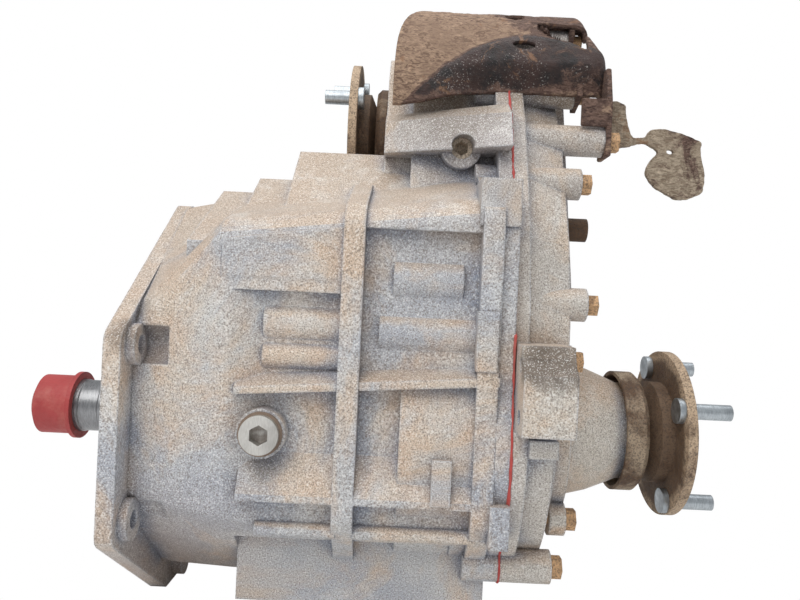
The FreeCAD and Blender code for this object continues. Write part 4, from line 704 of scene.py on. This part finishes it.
class CASE_OT_sealant(bpy.types.Operator):
    """Colour the sealant squeezed out of the case joint"""

    bl_idname = "case.sealant"
    bl_label = "Sealant"

    def execute(self, context):
        red = plain("Red sealant", (0.60, 0.07, 0.06), (0.42, 0.05, 0.045), 0.45, 0.0004, 300.0, 0.25)
        paint(red, "case_sealant")
        path = joint_outline(900)
        run = np.linspace(0.0, 1.0, len(path), endpoint=False)
        radii = 0.0008 + 0.0005 * waves(60.0 * run, 0.0 * run, 5, 9, 2.0)
        wander = JOINT_FACE + 0.0003 * waves(40.0 * run, 0.0 * run, 8)
        glint_specks = np.concatenate([wander[:, None], path], axis=1)
        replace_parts(bead("sealant_bead", glint_specks, radii, red, "housing", "sealant_red"), "case_sealant")
        return {"FINISHED"}


def opened(x, turn, middle, half, power=2.0):
    """Moves the points inside a round-cornered opening out to its rim, and tells which they were."""
    a = (x - middle[0]) / half[0]
    b = (turn - middle[1]) / half[1]
    away = (np.abs(a) ** power + np.abs(b) ** power) ** (1.0 / power)
    push = np.where(away < 1.0, 1.0 / np.maximum(away, 0.05), 1.0)
    return middle[0] + a * push * half[0], middle[1] + b * push * half[1], away < 1.0


def guard_grid():
    """A grid of points over the guard: where each lies along X, its turn round the front axis, the
    turn of the near edge there, and how far the sheet has turned inwards at its rolled end."""
    turns = np.linspace(GUARD_FAR_EDGE, GUARD_GRID_EDGE, 230)
    share, turn = np.meshgrid(np.linspace(0.0, 1.0, 190), turns)
    end = 0.2640 + 0.0215 * smooth(turn, 93.0, 99.0) + 0.0070 * smooth(turn, 143.0, 162.0)
    left = 0.150 + 0.044 * np.clip((GUARD_NEAR_EDGE - turn) / 80.0, 0.0, 1.0) ** 3.4
    flat = end - 0.007 - left
    laid = share * (flat + GUARD_ROLL)
    x = left + np.minimum(laid, flat)
    near_edge = GUARD_NEAR_EDGE - 8.5 * smooth(x, 0.146, 0.226)
    used = (near_edge - GUARD_FAR_EDGE) / (GUARD_GRID_EDGE - GUARD_FAR_EDGE)
    turn = GUARD_FAR_EDGE + (turn - GUARD_FAR_EDGE) * used
    curl = np.clip((laid - flat) / GUARD_ROLL, 0.0, 1.0) * np.pi / 2
    return x, turn, near_edge, curl


def guard_openings(x, turn):
    """The grid with two holes and the window opened in it, and which points lay inside them."""
    window = 3.0 + 5.0 * smooth(x, 0.248, 0.262) + 3.5 * smooth(x, 0.262, 0.281)
    openings = (
        ((0.2345, 119.0), (0.0075, 5.5), 2.0),
        ((0.2360, 149.5), (0.0078, 2.2), 2.0),
        ((0.2640, 129.0 + window), (0.0160, window), 6.0),
    )
    gone = np.zeros(x.shape, bool)
    for middle, half, power in openings:
        x, turn, inside = opened(x, turn, middle, half, power)
        gone |= inside
    return x, turn, gone


def guard_sheet(material):
    """The rolled shield round the front axis.

    Its left end is cut back over the top in a falling curve. A fold line climbs from the lower left
    corner to the middle and sinks again to the right. Below the line the sheet swells out by 3 mm,
    then tucks in to its lower edge. The right end rolls inwards, and over the far side it stops
    short. Two holes and a window are cut near the top.
    """
    x, turn, near_edge, curl = guard_grid()
    x, turn, gone = guard_openings(x, turn)
    x = x + 0.0065 * np.sin(curl)
    inward = 0.0115 * (1.0 - np.cos(curl))
    climb = np.clip((0.242 - x) / 0.061, 0.0, None) ** 1.7
    sink = np.clip((x - 0.242) / 0.050, 0.0, None) ** 1.6
    fold = 142.0 + 20.0 * climb + 9.0 * sink
    swell = 0.0030 * smooth(turn, fold - 3.0, fold + 4.0) * smooth(x, 0.165, 0.200)
    tuck = 0.0085 * smooth(turn, near_edge - 12.0, near_edge - 1.0) * smooth(x, 0.175, 0.215)
    arc = np.radians(turn) * 0.094
    dents = 0.0009 * waves(x, arc, 4, 8, 0.11) + 0.0005 * waves(x, arc, 9, 8, 0.025)
    radius = GUARD_RADIUS + swell - tuck - inward + np.clip(dents, -0.0015, 0.0002)
    y = FRONT_AXIS[0] + radius * np.cos(np.radians(turn))
    z = FRONT_AXIS[1] + radius * np.sin(np.radians(turn))
    points = np.stack([x, y, z], axis=-1).reshape(-1, 3)
    faces = lattice(*x.shape)[:, ::-1]
    faces = faces[~gone.reshape(-1)[faces].all(axis=1)]
    below = smooth(turn, fold - 3.0, fold + 3.0)
    right = smooth(x - 0.0007 * (turn - 110.0), 0.200, 0.225)
    bare = np.maximum(below, 0.5 * right)
    bare = np.minimum(bare, 1.0 - 0.45 * smooth(turn, near_edge - 6.0, near_edge))
    bare = bare - 0.30 * smooth(x, 0.238, 0.285) * smooth(turn, 144.0, 168.0)
    record = bare.reshape(-1)
    piece = surface("guard_sheet", points, faces, material, "housing", "guard_paint", bare=record)
    sheet = piece.modifiers.new("Sheet", "SOLIDIFY")
    sheet.thickness = GUARD_THICK
    sheet.offset = -1.0
    return piece


class CASE_OT_guard(bpy.types.Operator):
    """Roll the rusty guard, its arm and tab, and hang the loose tail plate on it"""

    bl_idname = "case.guard"
    bl_label = "Guard"

    def execute(self, context):
        sheet = scaled_plate("Guard plate", SAND, BROWN, BLACK, "bare")
        arms = scaled_plate("Guard arm", SAND, BROWN, BLACK, None, 0.50)
        paint(arms, "guard", "guard_feet")
        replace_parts(guard_sheet(sheet), "guard")
        arm = [(-31, 181), (-9, 181), (-9, 205), (-15, 240), (-24, 240), (-31, 216)]
        turns = np.linspace(0, 2 * np.pi, 17)[:-1]
        ring = np.stack([-20 + 4.6 * np.cos(turns), 192 + 4.6 * np.sin(turns)], axis=1)
        arm = MM * np.array(arm)
        plate("guard_arm", arm, 0.289, PLATE_THICK, 0, arms, "housing", [MM * ring])
        tab = MM * np.array([(272.5, 200), (291, 200), (291, 218), (272.5, 218)])
        plate("guard_tab", tab, -0.031, PLATE_THICK, 1, arms, "housing")
        dry, damp, bare = (0.54, 0.44, 0.33), (0.27, 0.20, 0.14), (0.030, 0.042, 0.052)
        mud = scaled_plate("Tail plate", dry, damp, bare, None, 0.24)
        paint(mud, "tail_plate")
        head = MM * flowing(TAIL_OUTLINE, 7, 0.5, 3)
        eye = MM * np.stack([337.3 + 2.4 * np.cos(turns), 189.7 + 1.6 * np.sin(turns)], axis=1)
        tail = plate("tail_sheet", head, -0.012, PLATE_THICK, 1, mud, "housing", [eye])
        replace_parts(tail, "tail_plate")
        return {"FINISHED"}


class CASE_OT_stage(bpy.types.Operator):
    """Set the floor, the lights and the camera"""

    bl_idname = "case.stage"
    bl_label = "Stage"

    def execute(self, context):
        p = looks()
        low = Vector(FIRST_BOUNDS[0])
        floor_mesh = bpy.data.meshes.new("Floor")
        signs = ((-1, -1), (1, -1), (1, 1), (-1, 1))
        glint_specks = [(a * FLOOR_HALF, b * FLOOR_HALF, low.z) for a, b in signs]
        floor_mesh.from_pydata(glint_specks, [], [(0, 1, 2, 3)])
        floor = bpy.data.objects.new("Floor", floor_mesh)
        context.scene.collection.objects.link(floor)
        t = Tree("Floor")
        matt = t.add("ShaderNodeBsdfDiffuse", {"Color": (0.88, 0.88, 0.88, 1.0)})
        bright = t.add("ShaderNodeEmission", {"Color": (1.0, 1.0, 1.0, 1.0), "Strength": 1.0})
        path = t.add("ShaderNodeLightPath")
        inputs = {0: path.outputs["Is Camera Ray"], 1: matt.outputs[0], 2: bright.outputs[0]}
        seen = t.add("ShaderNodeMixShader", inputs)
        t.add("ShaderNodeOutputMaterial", {"Surface": seen.outputs[0]})
        floor_mesh.materials.append(t.material)
        world = bpy.data.worlds.new("Studio")
        context.scene.world = world
        world.use_nodes = True
        tree = world.node_tree
        tree.nodes.clear()
        path = tree.nodes.new("ShaderNodeLightPath")
        soft = tree.nodes.new("ShaderNodeBackground")
        soft.inputs["Color"].default_value = (0.96, 0.98, 1.0, 1.0)
        soft.inputs["Strength"].default_value = p.room_light
        white = tree.nodes.new("ShaderNodeBackground")
        white.inputs["Color"].default_value = (1.0, 1.0, 1.0, 1.0)
        white.inputs["Strength"].default_value = 1.0
        pick = tree.nodes.new("ShaderNodeMixShader")
        out = tree.nodes.new("ShaderNodeOutputWorld")
        tree.links.new(path.outputs["Is Camera Ray"], pick.inputs[0])
        tree.links.new(soft.outputs[0], pick.inputs[1])
        tree.links.new(white.outputs[0], pick.inputs[2])
        tree.links.new(pick.outputs[0], out.inputs["Surface"])
        lamps = (
            ("Key", (-0.25, -0.75, 0.95), 0.9, p.key_power, (1.0, 0.98, 0.95)),
            ("Top", (0.25, 0.10, 1.25), 1.0, p.key_power * 0.8, (1.0, 1.0, 1.0)),
        )
        target = Vector(LAMP_TARGET)
        for name, spot, width, power, colour in lamps:
            lamp = bpy.data.lights.new(name, "AREA")
            lamp.shape = "SQUARE"
            lamp.size = width
            lamp.energy = power
            lamp.color = colour
            holder = bpy.data.objects.new(name, lamp)
            context.scene.collection.objects.link(holder)
            holder.location = spot
            holder.rotation_euler = (target - Vector(spot)).to_track_quat("-Z", "Y").to_euler()
        camera = bpy.data.cameras.new("Camera")
        camera.sensor_width = 36.0
        camera.lens = LENS
        camera.clip_start = 0.01
        eye = bpy.data.objects.new("Camera", camera)
        context.scene.collection.objects.link(eye)
        eye.location = EYE
        eye.rotation_euler = (math.pi / 2, EYE_ROLL, 0.0)
        context.scene.camera = eye
        context.scene.view_settings.view_transform = "Standard"
        return {"FINISHED"}


class CASE_PT_panel(bpy.types.Panel):
    """Buttons and settings of the transfer case"""

    bl_label = "Transfer case"
    bl_idname = "CASE_PT_panel"
    bl_space_type = "VIEW_3D"
    bl_region_type = "UI"
    bl_category = "Transfer case"

    def draw(self, context):
        settings = looks()
        for name in settings.bl_rna.properties.keys():
            if name not in ("rna_type", "name"):
                self.layout.prop(settings, name)
        for step in STEPS:
            self.layout.operator(step.bl_idname)


STEPS = (
    CASE_OT_castings,
    CASE_OT_shafts,
    CASE_OT_gears,
    CASE_OT_flanges,
    CASE_OT_fasteners,
    CASE_OT_sealant,
    CASE_OT_guard,
    CASE_OT_stage,
)
CLASSES = (CaseLooks, *STEPS, CASE_PT_panel)


def register():
    for item in CLASSES:
        bpy.utils.register_class(item)
    bpy.types.Scene.case_looks = bpy.props.PointerProperty(type=CaseLooks)


def unregister():
    del bpy.types.Scene.case_looks
    for item in reversed(CLASSES):
        bpy.utils.unregister_class(item)


def main():
    register()
    for step in STEPS:
        group, name = step.bl_idname.split(".")
        getattr(getattr(bpy.ops, group), name)()


if __name__ == "__main__":
    main()
